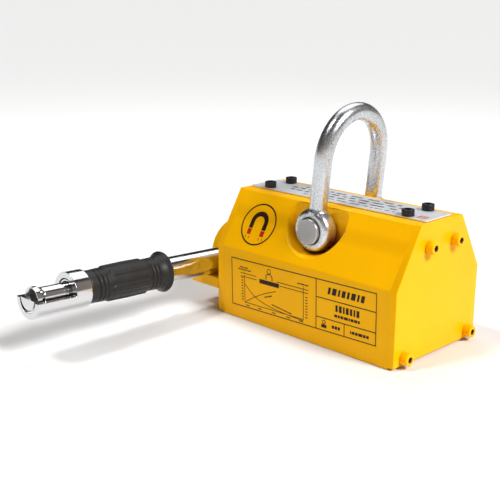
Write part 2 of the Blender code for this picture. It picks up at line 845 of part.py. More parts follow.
def make_spring(lever):
    low, high = GUIDE_END + GAP + SPRING_WIRE, BUTTON_START - GAP - SPRING_WIRE
    per_turn = 9
    count = SPRING_TURNS * per_turn
    points = []
    for index in range(count + 1):
        angle = 2 * math.pi * index / per_turn
        height = low + (high - low) * index / count
        points.append((SPRING_RADIUS * math.cos(angle), SPRING_RADIUS * math.sin(angle), height))
    mesh = mesh_of_curve(tube_curve("return_spring", points, SPRING_WIRE, 2), "return_spring")
    mesh.shade_smooth()
    placed("return_spring", mesh, "bare_steel", parent=lever)


def bow_points():
    """The centre line from the front eye, over the bow, to the rear eye."""
    steps = 12
    points = [(0, -LEG_OFFSET, 0.011), (0, -LEG_OFFSET, 0.029)]
    for index in range(steps + 1):
        angle = math.pi * index / steps
        along = -LEG_OFFSET * math.cos(angle)
        points.append((0, along, BOW_START + BOW_RISE * math.sin(angle)))
    return points + [(0, LEG_OFFSET, 0.029), (0, LEG_OFFSET, 0.011)]


def make_shackle():
    axis = axis_empty("shackle_axis", (0, 0, PIN_HEIGHT), (0, SHACKLE_LEAN, 0))
    mesh = mesh_of_curve(tube_curve("shackle", bow_points(), ROD_RADIUS, 4), "shackle")
    mesh.shade_smooth()
    shackle = placed("shackle", mesh, "zinc", parent=axis)
    half, edge = EYE_THICKNESS / 2, 0.002
    profile = [
        (EYE_RADIUS - edge, half),
        (EYE_RADIUS, half - edge),
        (EYE_RADIUS, edge - half),
        (EYE_RADIUS - edge, -half),
        (EYE_HOLE, -half),
        (EYE_HOLE, half),
    ]
    for side, name in ((-1, "front_eye"), (1, "rear_eye")):
        place = (0, side * EYE_OFFSET, 0)
        eye = turned(name, profile, None, 24, True, location=place, rotation=facing((0, 1, 0)), parent=axis)
        boolean(shackle, eye, "UNION")


def build():
    rotor = axis_empty("rotor_axis", (0, 0, ROTOR_HEIGHT), (-LEVER_TILT, 0, 0))
    upright = (math.pi / 2 - LEVER_TILT, 0, 0)
    lever = axis_empty("lever_axis", (LEVER_X, 0, ROTOR_HEIGHT), upright)
    button = axis_empty("button_axis", (LEVER_X, 0, ROTOR_HEIGHT), upright)

    body = make_body()
    make_separator()
    make_stator_magnets()
    left_plate = make_end_plate("left_end_plate", -1)
    right_plate = make_end_plate("right_end_plate", 1)
    make_right_screws(body, right_plate)
    make_left_screws(body, left_plate)
    make_stops(body, left_plate)
    make_nameplate(body)
    make_pin()
    make_seal(left_plate)
    make_keeper(left_plate, body)

    make_bearings(rotor)
    shaft = make_rotor(rotor)
    hub = make_hub(rotor, lever, shaft)
    tube = make_tube(lever, hub)
    make_grip(lever)
    make_barrel(lever, tube)
    make_guide(lever)
    make_button(button)
    make_spring(lever)
    make_shackle()


build()
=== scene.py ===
# %% [markdown]
# # A switchable lifting magnet
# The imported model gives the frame: where each part is, and what it moves with. Everything here is
# made round that frame. Shapes are in metres. X runs along the body, with the lever at its left end,
# the lever points to the front, -Y, and Z is up from the pole faces.

# %% Load the frame
import json
import math

import bmesh
import bpy
from mathutils import Matrix, Vector, noise


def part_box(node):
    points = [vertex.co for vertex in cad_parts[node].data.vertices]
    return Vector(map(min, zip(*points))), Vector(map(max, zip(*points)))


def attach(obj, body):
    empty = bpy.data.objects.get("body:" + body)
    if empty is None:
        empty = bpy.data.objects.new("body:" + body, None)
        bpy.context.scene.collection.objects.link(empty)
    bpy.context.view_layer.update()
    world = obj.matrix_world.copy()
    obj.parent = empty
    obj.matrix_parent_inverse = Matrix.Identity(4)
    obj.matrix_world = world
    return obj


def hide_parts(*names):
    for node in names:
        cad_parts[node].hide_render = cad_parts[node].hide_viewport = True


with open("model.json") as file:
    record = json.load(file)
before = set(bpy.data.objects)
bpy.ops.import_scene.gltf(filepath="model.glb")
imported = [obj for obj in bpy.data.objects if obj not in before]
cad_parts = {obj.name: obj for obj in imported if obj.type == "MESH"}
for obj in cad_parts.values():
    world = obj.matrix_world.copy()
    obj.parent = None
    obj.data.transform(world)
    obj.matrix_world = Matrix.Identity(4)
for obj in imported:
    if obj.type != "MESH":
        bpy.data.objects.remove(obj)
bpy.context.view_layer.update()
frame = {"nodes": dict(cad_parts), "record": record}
MM = 0.001
scene = bpy.context.scene

# %% [markdown]
# ## Where things are
# The joints say where the rotor's axis, the shackle's pin and the lever are. Every lever part is
# drawn in stations, the distance from the rotor's axis along the lever, so one matrix places them
# all: its Z runs out along the lever and its Y runs up.

# %% Read the axes from the joints
joints = {joint["name"]: joint for joint in frame["record"]["behaviour"]["joints"]}
ROTOR_CENTRE = Vector(joints["lever_swing"]["pos_m"])
PIN_CENTRE = Vector(joints["shackle_swing"]["pos_m"])
OUTWARD = -Vector(joints["button_press"]["axis"]).normalized()


def middle(node):
    low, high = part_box(node)
    return (Vector(low) + Vector(high)) / 2


def size(node):
    low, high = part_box(node)
    return Vector(high) - Vector(low)


def axes_matrix(x, y, z, origin):
    """The matrix that takes local X, Y and Z to these directions, from this origin."""
    turned = Matrix((x, y, z)).transposed().to_4x4()
    return Matrix.Translation(origin) @ turned


LEVER_CENTRE = Vector((middle("lever_tube").x, ROTOR_CENTRE.y, ROTOR_CENTRE.z))
ACROSS = Vector((1, 0, 0))
LEVER = axes_matrix(ACROSS, OUTWARD.cross(ACROSS), OUTWARD, LEVER_CENTRE)
LEAN = math.radians(5.5)
SHACKLE = Matrix.Translation(PIN_CENTRE) @ Matrix.Rotation(LEAN, 4, "Y")
ALONG_LEFT = axes_matrix(Vector((0, 1, 0)), Vector((0, 0, -1)), Vector((-1, 0, 0)), ROTOR_CENTRE)
print("lever tilt in degrees:", round(math.degrees(math.asin(OUTWARD.z)), 2))

# %% [markdown]
# ## A way to write shaders
# A material is a graph of nodes, and maths in it is easier to read as an expression. `Wire` wraps
# one socket, so that `grain * 0.2 + 0.3` adds the Math nodes it says. The reflected forms let a
# number stand first, as in `1 - grain`.


# %% Wire
class Wire:
    """One output of a shader graph, which can be used in sums."""

    def __init__(self, graph, socket):
        self.graph = graph
        self.socket = socket

    def __add__(self, other):
        return self.graph.math("ADD", self, other)

    def __sub__(self, other):
        return self.graph.math("SUBTRACT", self, other)

    def __rsub__(self, other):
        return self.graph.math("SUBTRACT", other, self)

    def __mul__(self, other):
        return self.graph.math("MULTIPLY", self, other)

    __radd__ = __add__
    __rmul__ = __mul__


print("operators on wires: +, - and *")

# %% [markdown]
# `Graph` holds the node tree. Its `add` makes every kind of node: first the node's own settings,
# such as a ramp's stops, then the values or wires of its sockets. Colours are mixed by a Mix node,
# because a Math node would turn them grey.

# %% Graph
BLACK = (0, 0, 0)
WHITE = (1, 1, 1)


class Graph:
    """A shader graph, to which nodes are added."""

    def __init__(self, tree):
        self.tree = tree

    def add(self, kind, settings=None, sockets=None, out=0):
        """Makes a node: its settings first, then the values or wires of its sockets."""
        node = self.tree.nodes.new(kind)
        settings = dict(settings or {})
        stops = settings.pop("stops", None)
        for name, value in settings.items():
            setattr(node, name, value)
        if stops:
            ramp = node.color_ramp
            while len(ramp.elements) < len(stops):
                ramp.elements.new(1)
            for element, (place, colour) in zip(ramp.elements, stops):
                element.position = place
                element.color = (*colour, 1)
        for key, value in (sockets or {}).items():
            self.put(node.inputs[key], value)
        return Wire(self, node.outputs[out])

    def put(self, socket, value):
        if isinstance(value, Wire):
            self.tree.links.new(value.socket, socket)
        elif isinstance(value, tuple) and len(socket.default_value) == 4:
            socket.default_value = (*value, 1)
        else:
            socket.default_value = value

    def math(self, operation, first, second=0.0):
        return self.add("ShaderNodeMath", {"operation": operation}, {0: first, 1: second})

    def ramp(self, value, stops):
        return self.add("ShaderNodeValToRGB", {"stops": stops}, {0: value})

    def mix(self, amount, first, second):
        """A colour between two colours."""
        sockets = {0: amount, 6: first, 7: second}
        return self.add("ShaderNodeMix", {"data_type": "RGBA"}, sockets, out=2)


print("colours with names: black", BLACK, "white", WHITE)

# %% [markdown]
# `Finish` is one material with one Principled shader. Its noise is read in the piece's own
# coordinates, in metres, so a grain has the same size on every piece and moves along with it.


# %% Finish
class Finish(Graph):
    """One material with a Principled shader."""

    def __init__(self, name, **constants):
        self.material = bpy.data.materials.new(name)
        self.material.use_nodes = True
        super().__init__(self.material.node_tree)
        self.shader = self.tree.nodes["Principled BSDF"]
        self.set(**constants)

    def set(self, **values):
        """Sets shader inputs, with _ for the spaces in their names."""
        for name, value in values.items():
            self.put(self.shader.inputs[name.replace("_", " ")], value)

    def noise(self, scale, detail=3.0, stretch=(1, 1, 1), roughness=0.5):
        """Noise in the piece's own coordinates in metres, stretched along some axes."""
        own = self.add("ShaderNodeTexCoord", out=3)
        place = self.add("ShaderNodeMapping", sockets={"Vector": own, "Scale": stretch})
        sockets = {"Vector": place, "Scale": scale, "Detail": detail, "Roughness": roughness}
        return self.add("ShaderNodeTexNoise", sockets=sockets)

    def bump(self, height, strength, distance):
        sockets = {"Height": height, "Strength": strength, "Distance": distance}
        self.set(Normal=self.add("ShaderNodeBump", sockets=sockets))


print("a finish is a", Finish.__mro__[1].__name__, "with one shader")

# %% [markdown]
# ## Yellow enamel
# The block and its plates are sprayed with thick gloss enamel. Two things make it read as paint:
# the fine ripple of orange peel, which breaks up each reflection, and a slow drift of tone where
# the coat is thicker. On the block a dark brown is also painted low in the two pockets: painted
# shade, where the eyes shade the paint. A mask made of two ramps finds that place by its depth and
# its height.


# %% Painted shade in the pockets
SHADE_DEPTH = 26.5 * MM  # the painted shade is full nearer to the middle of the body than this
SHADE_FADE = 35 * MM
DEPTH_SCALE = 20.0


def pocket_shade(made):
    """Painted shade, low in the pockets beside the eyes, where the eyes shade the paint."""
    own = made.add("ShaderNodeTexCoord", out=3)
    across = made.add("ShaderNodeSeparateXYZ", sockets={0: own}, out=1)
    height = made.add("ShaderNodeSeparateXYZ", sockets={0: own}, out=2)
    depth = made.math("ABSOLUTE", across) * DEPTH_SCALE
    deep = made.ramp(depth, [(SHADE_DEPTH * DEPTH_SCALE, WHITE), (SHADE_FADE * DEPTH_SCALE, BLACK)])
    stops = [(0.54, BLACK), (0.58, WHITE), (0.66, WHITE), (0.82, BLACK)]
    return deep * made.ramp(height * 10.0, stops)


# the painted shade in the pockets fades over this width
print("the pooled coat fades over, in mm:", round((SHADE_FADE - SHADE_DEPTH) / MM, 1))

# %% [markdown]
# The enamel is a dielectric: no metal, a low tinted reflection, and a thin clear coat on top for
# the sharp highlights. The bump is the orange peel and a finer dust.


# %% Enamel
def enamel(name, pocket=False):
    made = Finish(name, Metallic=0.0, Specular_IOR_Level=0.17, Coat_Weight=0.07)
    made.set(Specular_Tint=(1.0, 0.70, 0.12), Coat_Roughness=0.06)
    drift = made.noise(14.0, 2.0)
    colour = made.ramp(drift, [(0.30, (0.93, 0.450, 0.0010)), (0.70, (0.98, 0.485, 0.0014))])
    if pocket:
        # painted shade: a dark brown mixed in low in the pockets, where the eyes shade the paint
        colour = made.mix(pocket_shade(made), colour, (0.30, 0.050, 0.001))
    peel = made.noise(420.0, 2.0)
    dust = made.noise(2600.0, 1.0)
    made.set(Base_Color=colour, Roughness=drift * 0.10 + 0.24)
    made.bump(peel + dust * 0.25, 0.14, 0.00035)
    return made.material


ENAMEL = enamel("yellow_enamel")
BODY_ENAMEL = enamel("body_enamel", pocket=True)
print("enamels:", ENAMEL.name, BODY_ENAMEL.name)

# %% [markdown]
# ## Bright metals
# Zinc plate on a forging is mottled: crystals of lighter and darker grey, with a breath of yellow
# passivation. Two noises of very different size make the greys, and both also drive the roughness,
# so the pale crystals shine less than the dark ones. A third noise places the yellow.


# %% Zinc
def zinc():
    made = Finish("zinc_plate", Metallic=1.0)
    patches = made.noise(40.0, 4.0, (1, 1, 0.3), 0.6)
    spangle = made.noise(1000.0, 3.0, roughness=0.6)
    stops = [(0.36, (0.36, 0.375, 0.39)), (0.50, (0.60, 0.62, 0.64)), (0.64, (0.80, 0.82, 0.84))]
    grey = made.ramp(patches * 0.50 + spangle * 0.50, stops)
    tint = made.ramp(made.noise(26.0, 2.0), [(0.58, BLACK), (0.76, (0.4, 0.4, 0.4))])
    made.set(Base_Color=made.mix(tint, grey, (0.74, 0.62, 0.36)))
    made.set(Roughness=spangle * 0.14 + patches * 0.12 + 0.15)
    made.bump(spangle + patches * 0.5, 0.34, 0.0001)
    return made.material


ZINC = zinc()
print("zinc nodes:", len(ZINC.node_tree.nodes))

# %% [markdown]
# Chrome on the lever is almost a mirror, with a few smudges. Brushed aluminium has scratches along
# its length only, which is one noise stretched fifty times along X. Machined steel has fine lines
# that run the way the cutter went.


# %% Chrome, aluminium and ground steel
def chrome():
    made = Finish("bright_chrome", Metallic=1.0, Base_Color=(0.69, 0.69, 0.70))
    smudge = made.noise(90.0, 3.0)
    grain = made.noise(900.0, 2.0)
    made.set(Roughness=smudge * 0.16 + grain * 0.06 + 0.02)
    made.bump(grain, 0.05, 0.0003)
    return made.material


def aluminium():
    made = Finish("brushed_aluminium", Metallic=0.40)
    scratch = made.noise(2200.0, 2.0, (0.02, 1, 1))
    made.set(Base_Color=made.ramp(scratch, [(0.3, (0.70, 0.72, 0.75)), (0.7, (0.86, 0.88, 0.91))]))
    made.set(Roughness=scratch * 0.20 + 0.22)
    made.bump(scratch, 0.25, 0.0001)
    return made.material


def ground_steel(name, light):
    made = Finish(name, Metallic=1.0)
    line = made.noise(1800.0, 2.0, (1, 0.03, 1))
    cloud = made.noise(45.0, 3.0)
    dark = tuple(light * part * 0.72 for part in (1.0, 0.985, 0.96))
    pale = tuple(light * part * 1.18 for part in (1.0, 0.985, 0.96))
    made.set(Base_Color=made.mix(line * 0.6 + cloud * 0.4, dark, pale))
    made.set(Roughness=cloud * 0.18 + 0.26)
    made.bump(line, 0.20, 0.0001)
    return made.material


CHROME = chrome()
ALUMINIUM = aluminium()
STEEL = ground_steel("ground_steel", 0.55)
POLE_STEEL = ground_steel("pole_steel", 0.30)
print("bright metals:", ", ".join(made.name for made in (CHROME, ALUMINIUM, STEEL, POLE_STEEL)))

# %% [markdown]
# ## Dark and small finishes
# Black oxide on the screws is a thin, slightly blue-black skin with a soft shine. The rubber grip
# is matt, with a fine grain and cloudy grey scuffs. Both are near black, so it is the roughness
# that tells them apart.


# %% Black oxide and rubber
def black_oxide():
    made = Finish("black_oxide", Metallic=0.65)
    cloud = made.noise(500.0, 3.0)
    made.set(Base_Color=made.mix(cloud, (0.008, 0.008, 0.010), (0.035, 0.035, 0.040)))
    made.set(Roughness=cloud * 0.20 + 0.24)
    made.bump(cloud, 0.12, 0.0001)
    return made.material


def rubber():
    made = Finish("black_rubber", Metallic=0.0, Specular_IOR_Level=0.27)
    grain = made.noise(1500.0, 3.0, roughness=0.7)
    scuff = made.noise(70.0, 4.0, (1, 1, 0.4))
    made.set(Base_Color=made.mix(scuff, (0.006, 0.006, 0.007), (0.022, 0.021, 0.020)))
    made.set(Roughness=grain * 0.18 + scuff * 0.16 + 0.28)
    made.bump(grain, 0.30, 0.0002)
    return made.material


OXIDE = black_oxide()
RUBBER = rubber()
print("dark finishes:", OXIDE.name, RUBBER.name)

# %% [markdown]
# Brass, the nickel on the magnets, the printing inks and the painted shade inside a socket need no
# more than a cloud between two shades, so one function makes them all.


# %% Brass, nickel and ink
def cloudy(name, dark, pale, roughness, metallic=1.0):
    """Metal by default. With metallic 0 it is an ink."""
    made = Finish(name, Metallic=metallic, Specular_IOR_Level=0.5 if metallic else 0.2)
    cloud = made.noise(160.0, 3.0)
    made.set(Base_Color=made.mix(cloud, dark, pale), Roughness=cloud * 0.16 + roughness)
    made.bump(made.noise(1200.0, 2.0), 0.10, 0.0001)
    return made.material


BRASS = cloudy("brass", (0.52, 0.33, 0.10), (0.74, 0.52, 0.20), 0.24)
NICKEL = cloudy("magnet_nickel", (0.46, 0.44, 0.40), (0.66, 0.64, 0.60), 0.18)
INK = cloudy("dark_ink", (0.016, 0.005, 0.002), (0.030, 0.010, 0.004), 0.34, 0.0)
# painted shade: the dark brown inside a painted socket, where the socket lies in shade
SOCKET_SHADE = cloudy("painted_socket_shade", (0.030, 0.014, 0.004), (0.075, 0.040, 0.010), 0.4, 0.0)
RED_INK = cloudy("red_ink", (0.46, 0.012, 0.004), (0.60, 0.020, 0.008), 0.34, 0.0)
GREY_INK = cloudy("grey_ink", (0.02, 0.02, 0.025), (0.05, 0.05, 0.06), 0.45, 0.0)
print("materials:", len(bpy.data.materials))

# %% [markdown]
# ## Helpers that make shapes
# A turned or a sawn part starts as an outline. Real corners are never quite sharp, so `fillet`
# rounds each corner that is given a radius, with a short curve between its two tangent points.


# %% Outlines
def fillet(corners, steps=4, closed=True):
    """Corners are (x, y) or (x, y, radius). Each rounded corner becomes a short curve."""
    count = len(corners)
    points = []
    for index, corner in enumerate(corners):
        here = Vector(corner[:2])
        radius = corner[2] if len(corner) > 2 else 0
        if not radius or (not closed and index in (0, count - 1)):
            points.append(here)
            continue
        back = Vector(corners[index - 1][:2]) - here
        ahead = Vector(corners[(index + 1) % count][:2]) - here
        reach = radius / math.tan(back.angle(ahead) / 2)
        reach = min(reach, back.length * 0.49, ahead.length * 0.49)
        start = here + back.normalized() * reach
        end = here + ahead.normalized() * reach
        for step in range(steps + 1):
            t = step / steps
            points.append(start.lerp(here, t).lerp(here.lerp(end, t), t))
    return points


def circle(radius, steps=48, centre=(0, 0)):
    turn = 2 * math.pi / steps
    return [
        (centre[0] + radius * math.cos(i * turn), centre[1] + radius * math.sin(i * turn))
        for i in range(steps)
    ]


print("points on a rounded square:", len(fillet([(0, 0, 1), (4, 0, 1), (4, 4, 1), (0, 4, 1)])))

# %% [markdown]
# `lathe` turns an outline round an axis, as a lathe does, and `prism` saws one out of a plate. Each
# mesh is smooth, but for the edges that are sharp on the real part.


# %% Turning and sawing
def creased(mesh, sharp=35):
    """The mesh, smooth but for its sharp edges."""
    mesh.shade_smooth()
    mesh.set_sharp_from_angle(angle=math.radians(sharp))
    return mesh


def finished(bm, name, sharp=35, matrix=None):
    """The bmesh as a mesh that faces out and is smooth but for its sharp edges."""
    if matrix:
        bmesh.ops.transform(bm, matrix=matrix, verts=bm.verts)
    bmesh.ops.recalc_face_normals(bm, faces=bm.faces)
    mesh = bpy.data.meshes.new(name)
    bm.to_mesh(mesh)
    bm.free()
    return creased(mesh, sharp)


def lathe(name, outline, matrix=None, steps=64, closed=False, sharp=35):
    """Turns (radius, height) points round local Z."""
    bm = bmesh.new()
    verts = [bm.verts.new((point[0], 0, point[1])) for point in outline]
    edges = [bm.edges.new(pair) for pair in zip(verts, verts[1:])]
    if closed:
        edges.append(bm.edges.new((verts[-1], verts[0])))
    bmesh.ops.spin(
        bm,
        geom=verts + edges,
        axis=(0, 0, 1),
        cent=(0, 0, 0),
        angle=2 * math.pi,
        steps=steps,
        use_merge=True,
    )
    bmesh.ops.remove_doubles(bm, verts=bm.verts, dist=1e-7)
    return finished(bm, name, sharp, matrix)


def prism(name, outline, low, high, matrix=None):
    """An outline in local XY, from one height to another."""
    bm = bmesh.new()
    verts = [bm.verts.new((point[0], point[1], low)) for point in outline]
    face = bm.faces.new(verts)
    top = bmesh.ops.extrude_face_region(bm, geom=[face])["geom"]
    moved = [part for part in top if isinstance(part, bmesh.types.BMVert)]
    bmesh.ops.translate(bm, vec=(0, 0, high - low), verts=moved)
    return finished(bm, name, 35, matrix)


washer = lathe("try", [(1, 0), (2, 0), (2, 1), (1, 1)], closed=True)
print("faces of a turned washer:", len(washer.polygons))

# %% [markdown]
# Bores and slots are cut with exact Booleans. Modifiers are easier to reason about than operators:
# each one is put on a short-lived object, and the evaluated mesh is the result.


# %% Booleans
def helper_object(mesh):
    made = bpy.data.objects.new(mesh.name, mesh)
    scene.collection.objects.link(made)
    return made


def applied(made):
    """The object's mesh with its modifiers applied. The object goes."""
    graph = bpy.context.evaluated_depsgraph_get()
    mesh = bpy.data.meshes.new_from_object(made.evaluated_get(graph))
    mesh.name = made.name
    bpy.data.objects.remove(made, do_unlink=True)
    return mesh


def cut(mesh, *others, operation="DIFFERENCE"):
    """The mesh with the others taken away from it, or joined to it."""
    made = helper_object(mesh)
    tools = [helper_object(other) for other in others]
    for tool in tools:
        step = made.modifiers.new("cut", "BOOLEAN")
        step.operation = operation
        step.object = tool
    result = applied(made)
    for tool in tools:
        bpy.data.objects.remove(tool, do_unlink=True)
    return result


ring = cut(prism("try", circle(2), 0, 1), prism("try", circle(1), -1, 2))
print("faces of a ring cut from a disc:", len(ring.polygons))

# %% [markdown]
# Light catches the rounded edge of a real part, so edges get a Bevel. After it, large flat faces
# would be shaded as if they curved. Weighted normals keep them flat.


# %% Rounded edges
def evened(mesh, sharp=40):
    """The mesh with its large flat faces shaded flat, up to the edges they share."""
    made = helper_object(creased(mesh, sharp))
    step = made.modifiers.new("normals", "WEIGHTED_NORMAL")
    step.weight = 100
    step.keep_sharp = True
    return applied(made)


def bevelled(mesh, width, segments, angle=30):
    """The mesh with its sharp edges rounded."""
    made = helper_object(mesh)
    step = made.modifiers.new("edges", "BEVEL")
    step.width = width
    step.segments = segments
    step.limit_method = "ANGLE"
    step.angle_limit = math.radians(angle)
    step.use_clamp_overlap = True
    return evened(applied(made))


rounded = bevelled(prism("try", circle(1, 4), 0, 1), 0.1, 2)
print("faces of a bevelled block:", len(rounded.polygons))

# %% [markdown]
# A finished mesh becomes a piece with `show`. It puts the piece on the body it rides on, gives it
# its finish, and hides the CAD parts it takes the place of.


# %% Showing a piece
def show(name, mesh, body, slot, finish, *replaced):
    """Shows a finished mesh as a piece that moves with a body."""
    made = bpy.data.objects.new(name, mesh)
    scene.collection.objects.link(made)
    mesh.materials.clear()
    mesh.materials.append(finish)
    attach(made, body)
    if replaced:
        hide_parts(*replaced)


# %% [markdown]
# ## The body
# The block is one piece: upright sides, sloping shoulders, and a round pocket front and rear for
# the shackle's eyes. Its end outline is drawn once and stretched to the block's length, and then the
# pockets, the bore for the rotor and the hole for the pin are cut out, as a mill would cut them.

# %% Body sizes
HALF = size("main_body").y / 2
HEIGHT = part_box("nameplate")[0][2] - 0.3 * MM
SHOULDER = 52 * MM
TOP_HALF = 23 * MM
BLOCK = size("main_body").x / 2
PLATE_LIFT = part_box("right_end_plate")[0][2]
POCKET = 25.5 * MM
POCKET_HEIGHT = 83.7 * MM
POCKET_FLOOR = 23.4 * MM
POCKET_CORNER = 5 * MM
PIN_HOLE = 9.3 * MM
ROTOR_BORE = 21.3 * MM
SHOE_EDGE = 10 * MM
SHOE_GAP = 5 * MM
SHOE_RISE = 1.3 * MM
GAP_TOP = 11 * MM
PAST = 10 * MM  # how far a cutter reaches past the face it starts from
SECTION = axes_matrix(Vector((0, 1, 0)), Vector((0, 0, 1)), Vector((1, 0, 0)), Vector())
FRONTWARD = axes_matrix(Vector((1, 0, 0)), Vector((0, 0, 1)), Vector((0, -1, 0)), Vector())
REARWARD = axes_matrix(Vector((-1, 0, 0)), Vector((0, 0, 1)), Vector((0, 1, 0)), Vector())


def section(foot):
    """The outline of the block's end: this foot, then the sides, the shoulders and the top."""
    upper = [(HALF, SHOULDER), (TOP_HALF, HEIGHT), (-TOP_HALF, HEIGHT), (-HALF, SHOULDER)]
    return foot + upper


print("body, in mm:", [round(part / MM, 1) for part in (2 * BLOCK, 2 * HALF, HEIGHT)])

# %% [markdown]
# The foot is two pole shoes with a gap between them, so one shoe is drawn and mirrored. A pocket is
# turned about its own axis, which points out of the block, with a rounded corner at its floor.


# %% Body outline and pockets
def body_mesh():
    right_shoe = [(SHOE_GAP, GAP_TOP), (SHOE_GAP, SHOE_RISE), (SHOE_EDGE, 0), (HALF, 0)]
    left_shoe = [(-y, z) for y, z in reversed(right_shoe)]
    block = prism("main_body", section(left_shoe + right_shoe), -BLOCK, BLOCK, SECTION)
    cutters = []
    for way in (FRONTWARD, REARWARD):
        outer = HALF + PAST
        floor_corner = (POCKET, POCKET_FLOOR, POCKET_CORNER)
        corners = [(0, outer), (POCKET, outer), floor_corner, (0, POCKET_FLOOR)]
        place = way @ Matrix.Translation((0, POCKET_HEIGHT, 0))
        cutters.append(lathe("pocket", fillet(corners, 6, closed=False), place, 96))
    pin_hole = circle(PIN_HOLE, 48, (0, PIN_CENTRE.z))
    cutters.append(prism("pin_hole", pin_hole, -HALF, HALF, FRONTWARD))
    bore = circle(ROTOR_BORE, 72, (0, ROTOR_CENTRE.z))
    cutters.append(prism("bore", bore, -BLOCK - MM, BLOCK + MM, SECTION))
    return cut(block, *cutters)


block = body_mesh()
print("faces of the cut block:", len(block.polygons))

# %% [markdown]
# Paint never sits on a sharp edge, so each edge is rounded. The pocket's rim is rounder than the
# rest, so the edges carry different bevel weights and one Bevel does them all.


# %% Rounded rims
def rim_weight(edge):
    """How round the paint makes an edge, as a share of the rim's own radius."""
    first, second = (vert.co for vert in edge.verts)
    if edge.calc_face_angle(0) < math.radians(20):
        return 0.0
    centre = (first + second) / 2
    from_pocket = math.hypot(centre.x, centre.z - POCKET_HEIGHT)
    along_x = abs(first.x - second.x) > 0.9 * edge.calc_length()
    if abs(centre.y) > POCKET_FLOOR + POCKET_CORNER + 0.5 * MM and abs(from_pocket - POCKET) < 0.4 * MM:
        return 1.0
    if along_x and abs(centre.z - SHOULDER) < MM:
        return 0.6
    if along_x and abs(centre.z - HEIGHT) < 0.1 * MM:
        return 0.45
    if along_x and abs(centre.z) < MM and abs(centre.y) > HALF - MM:
        return 0.25
    return 0.0


def rounded_body(mesh):
    bm = bmesh.new()
    bm.from_mesh(mesh)
    bmesh.ops.remove_doubles(bm, verts=bm.verts, dist=1e-6)
    weights = bm.edges.layers.float.new("bevel_weight_edge")
    for edge in bm.edges:
        edge[weights] = rim_weight(edge)
    print("weighted edges:", sum(edge[weights] > 0 for edge in bm.edges))
    bm.to_mesh(mesh)
    bm.free()
    made = helper_object(mesh)
    step = made.modifiers.new("rims", "BEVEL")
    step.width = 1.8 * MM
    step.segments = 5
    step.limit_method = "WEIGHT"
    step.use_clamp_overlap = False
    return evened(applied(made), 32)


show("body_casting", rounded_body(block), "housing", "paint", BODY_ENAMEL, "main_body")

# %% [markdown]
# ## End plates and stop blocks
# The plates have the body's outline and a softly rounded outer edge. Each is a stack of copies of
# that outline: the outer copies are drawn in along a quarter circle, which is a rounding that stays
# even at every corner.


# %% Plates
PLATE_EDGE = 0.45 * MM
PLATE_SEAM = 0.22 * MM  # how far the plate reaches into the paint of the body


def drawn_in(corners, inset):
    """The outline with each side moved in by the inset."""
    points = []
    for i, here in enumerate(corners):
        into = (here - corners[i - 1]).normalized()
        out = (corners[(i + 1) % len(corners)] - here).normalized()
        normals = [Vector((-way.y, way.x)) for way in (into, out)]
        middle_way = (normals[0] + normals[1]).normalized()
        points.append(here + middle_way * inset / middle_way.dot(normals[0]))
    return points


def plate_mesh(node):
    """The plate as layers of its outline, drawn in at the outer face to round that edge."""
    low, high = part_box(node)
    inner, outer = sorted((low[0], high[0]), key=abs)
    way = 1 if outer > 0 else -1
    layers = [(inner - way * PLATE_SEAM, 0.0)]
    for step in range(5):
        angle = math.pi / 2 * step / 4
        back, inset = PLATE_EDGE * (1 - math.sin(angle)), PLATE_EDGE * (1 - math.cos(angle))
        layers.append((outer - way * back, inset))
    corners = [Vector(point) for point in section([(-HALF, PLATE_LIFT), (HALF, PLATE_LIFT)])]
    bm = bmesh.new()
    loops = []
    for x, inset in layers:
        loops.append([bm.verts.new((x, p.x, p.y)) for p in drawn_in(corners, inset)])
    for near, far in zip(loops, loops[1:]):
        for i in range(len(corners)):
            j = (i + 1) % len(corners)
            bm.faces.new((near[i], near[j], far[j], far[i]))
    bm.faces.new(loops[0])
    bm.faces.new(loops[-1])
    return evened(finished(bm, node))


for side in ("left", "right"):
    node = f"{side}_end_plate"
    show(f"{side}_plate", plate_mesh(node), "housing", "paint", ENAMEL, node)
    print(node, "thick, in mm:", round(size(node).x / MM, 2))

# %% [markdown]
# The stop blocks under the lever are small bars. The lever rests on them, so the top of each one
# slopes as the lever does.

# %% Stop blocks
for side in ("front", "rear"):
    node = f"{side}_stop_block"
    low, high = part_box(node)
    inner, outer = sorted((low[1], high[1]), key=abs)
    drop = (abs(outer) - abs(inner)) * math.tan(math.asin(OUTWARD.z))
    outline = [(inner, low[2]), (outer, low[2]), (outer, high[2]), (inner, high[2] - drop)]
    mesh = bevelled(prism(node, outline, low[0], high[0], SECTION), 1.0 * MM, 3)
    show(f"{side}_stop", mesh, "housing", "paint", ENAMEL, node)
    print(node, "drop, in mm:", round(drop / MM, 2))

# %% [markdown]
# ## Socket head screws
# A cap screw is a turned head with a rounded top edge and a hexagonal socket, which is a circle of
# six steps. Only the head shows, but the shank is kept so that each piece is whole. The sizes come
# from the CAD screw's box. A painted screw gets a thin dark brown cup in its socket: painted shade,
# for the shade deep inside the socket.


# %% Screws
SOCKET = 2.4 * MM
SHANK = 2.5 * MM
SOCKET_FLOOR = 0.32  # the height of the socket's floor, as a share of the head's height
LINING = 0.12 * MM
SKIN = 0.01 * MM  # the play between a lining and its socket


def screw_mesh(name, head, height, reach, matrix):
    top, under = (head, height, 0.7 * MM), (head, 0, 0.2 * MM)
    corners = [(0, height), top, under, (SHANK, 0), (SHANK, -reach), (0, -reach)]
    body = lathe(name, fillet(corners, 4, closed=False), None, 40)
    made = cut(body, prism("key", circle(SOCKET, 6), SOCKET_FLOOR * height, height + MM))
    made.transform(matrix)
    return creased(made)


# painted shade: a thin dark cup laid on a painted socket's walls and floor
def socket_shade_mesh(name, height, matrix):
    floor = SOCKET_FLOOR * height
    cup = prism(name, circle(SOCKET - SKIN, 6), floor + SKIN, height - 0.35 * MM)
    made = cut(cup, prism("inside", circle(SOCKET - LINING, 6), floor + LINING, height + MM))
    made.transform(matrix)
    return made


def facing(direction, origin):
    turn = Vector(direction).to_track_quat("Z", "Y").to_matrix().to_4x4()
    return Matrix.Translation(origin) @ turn


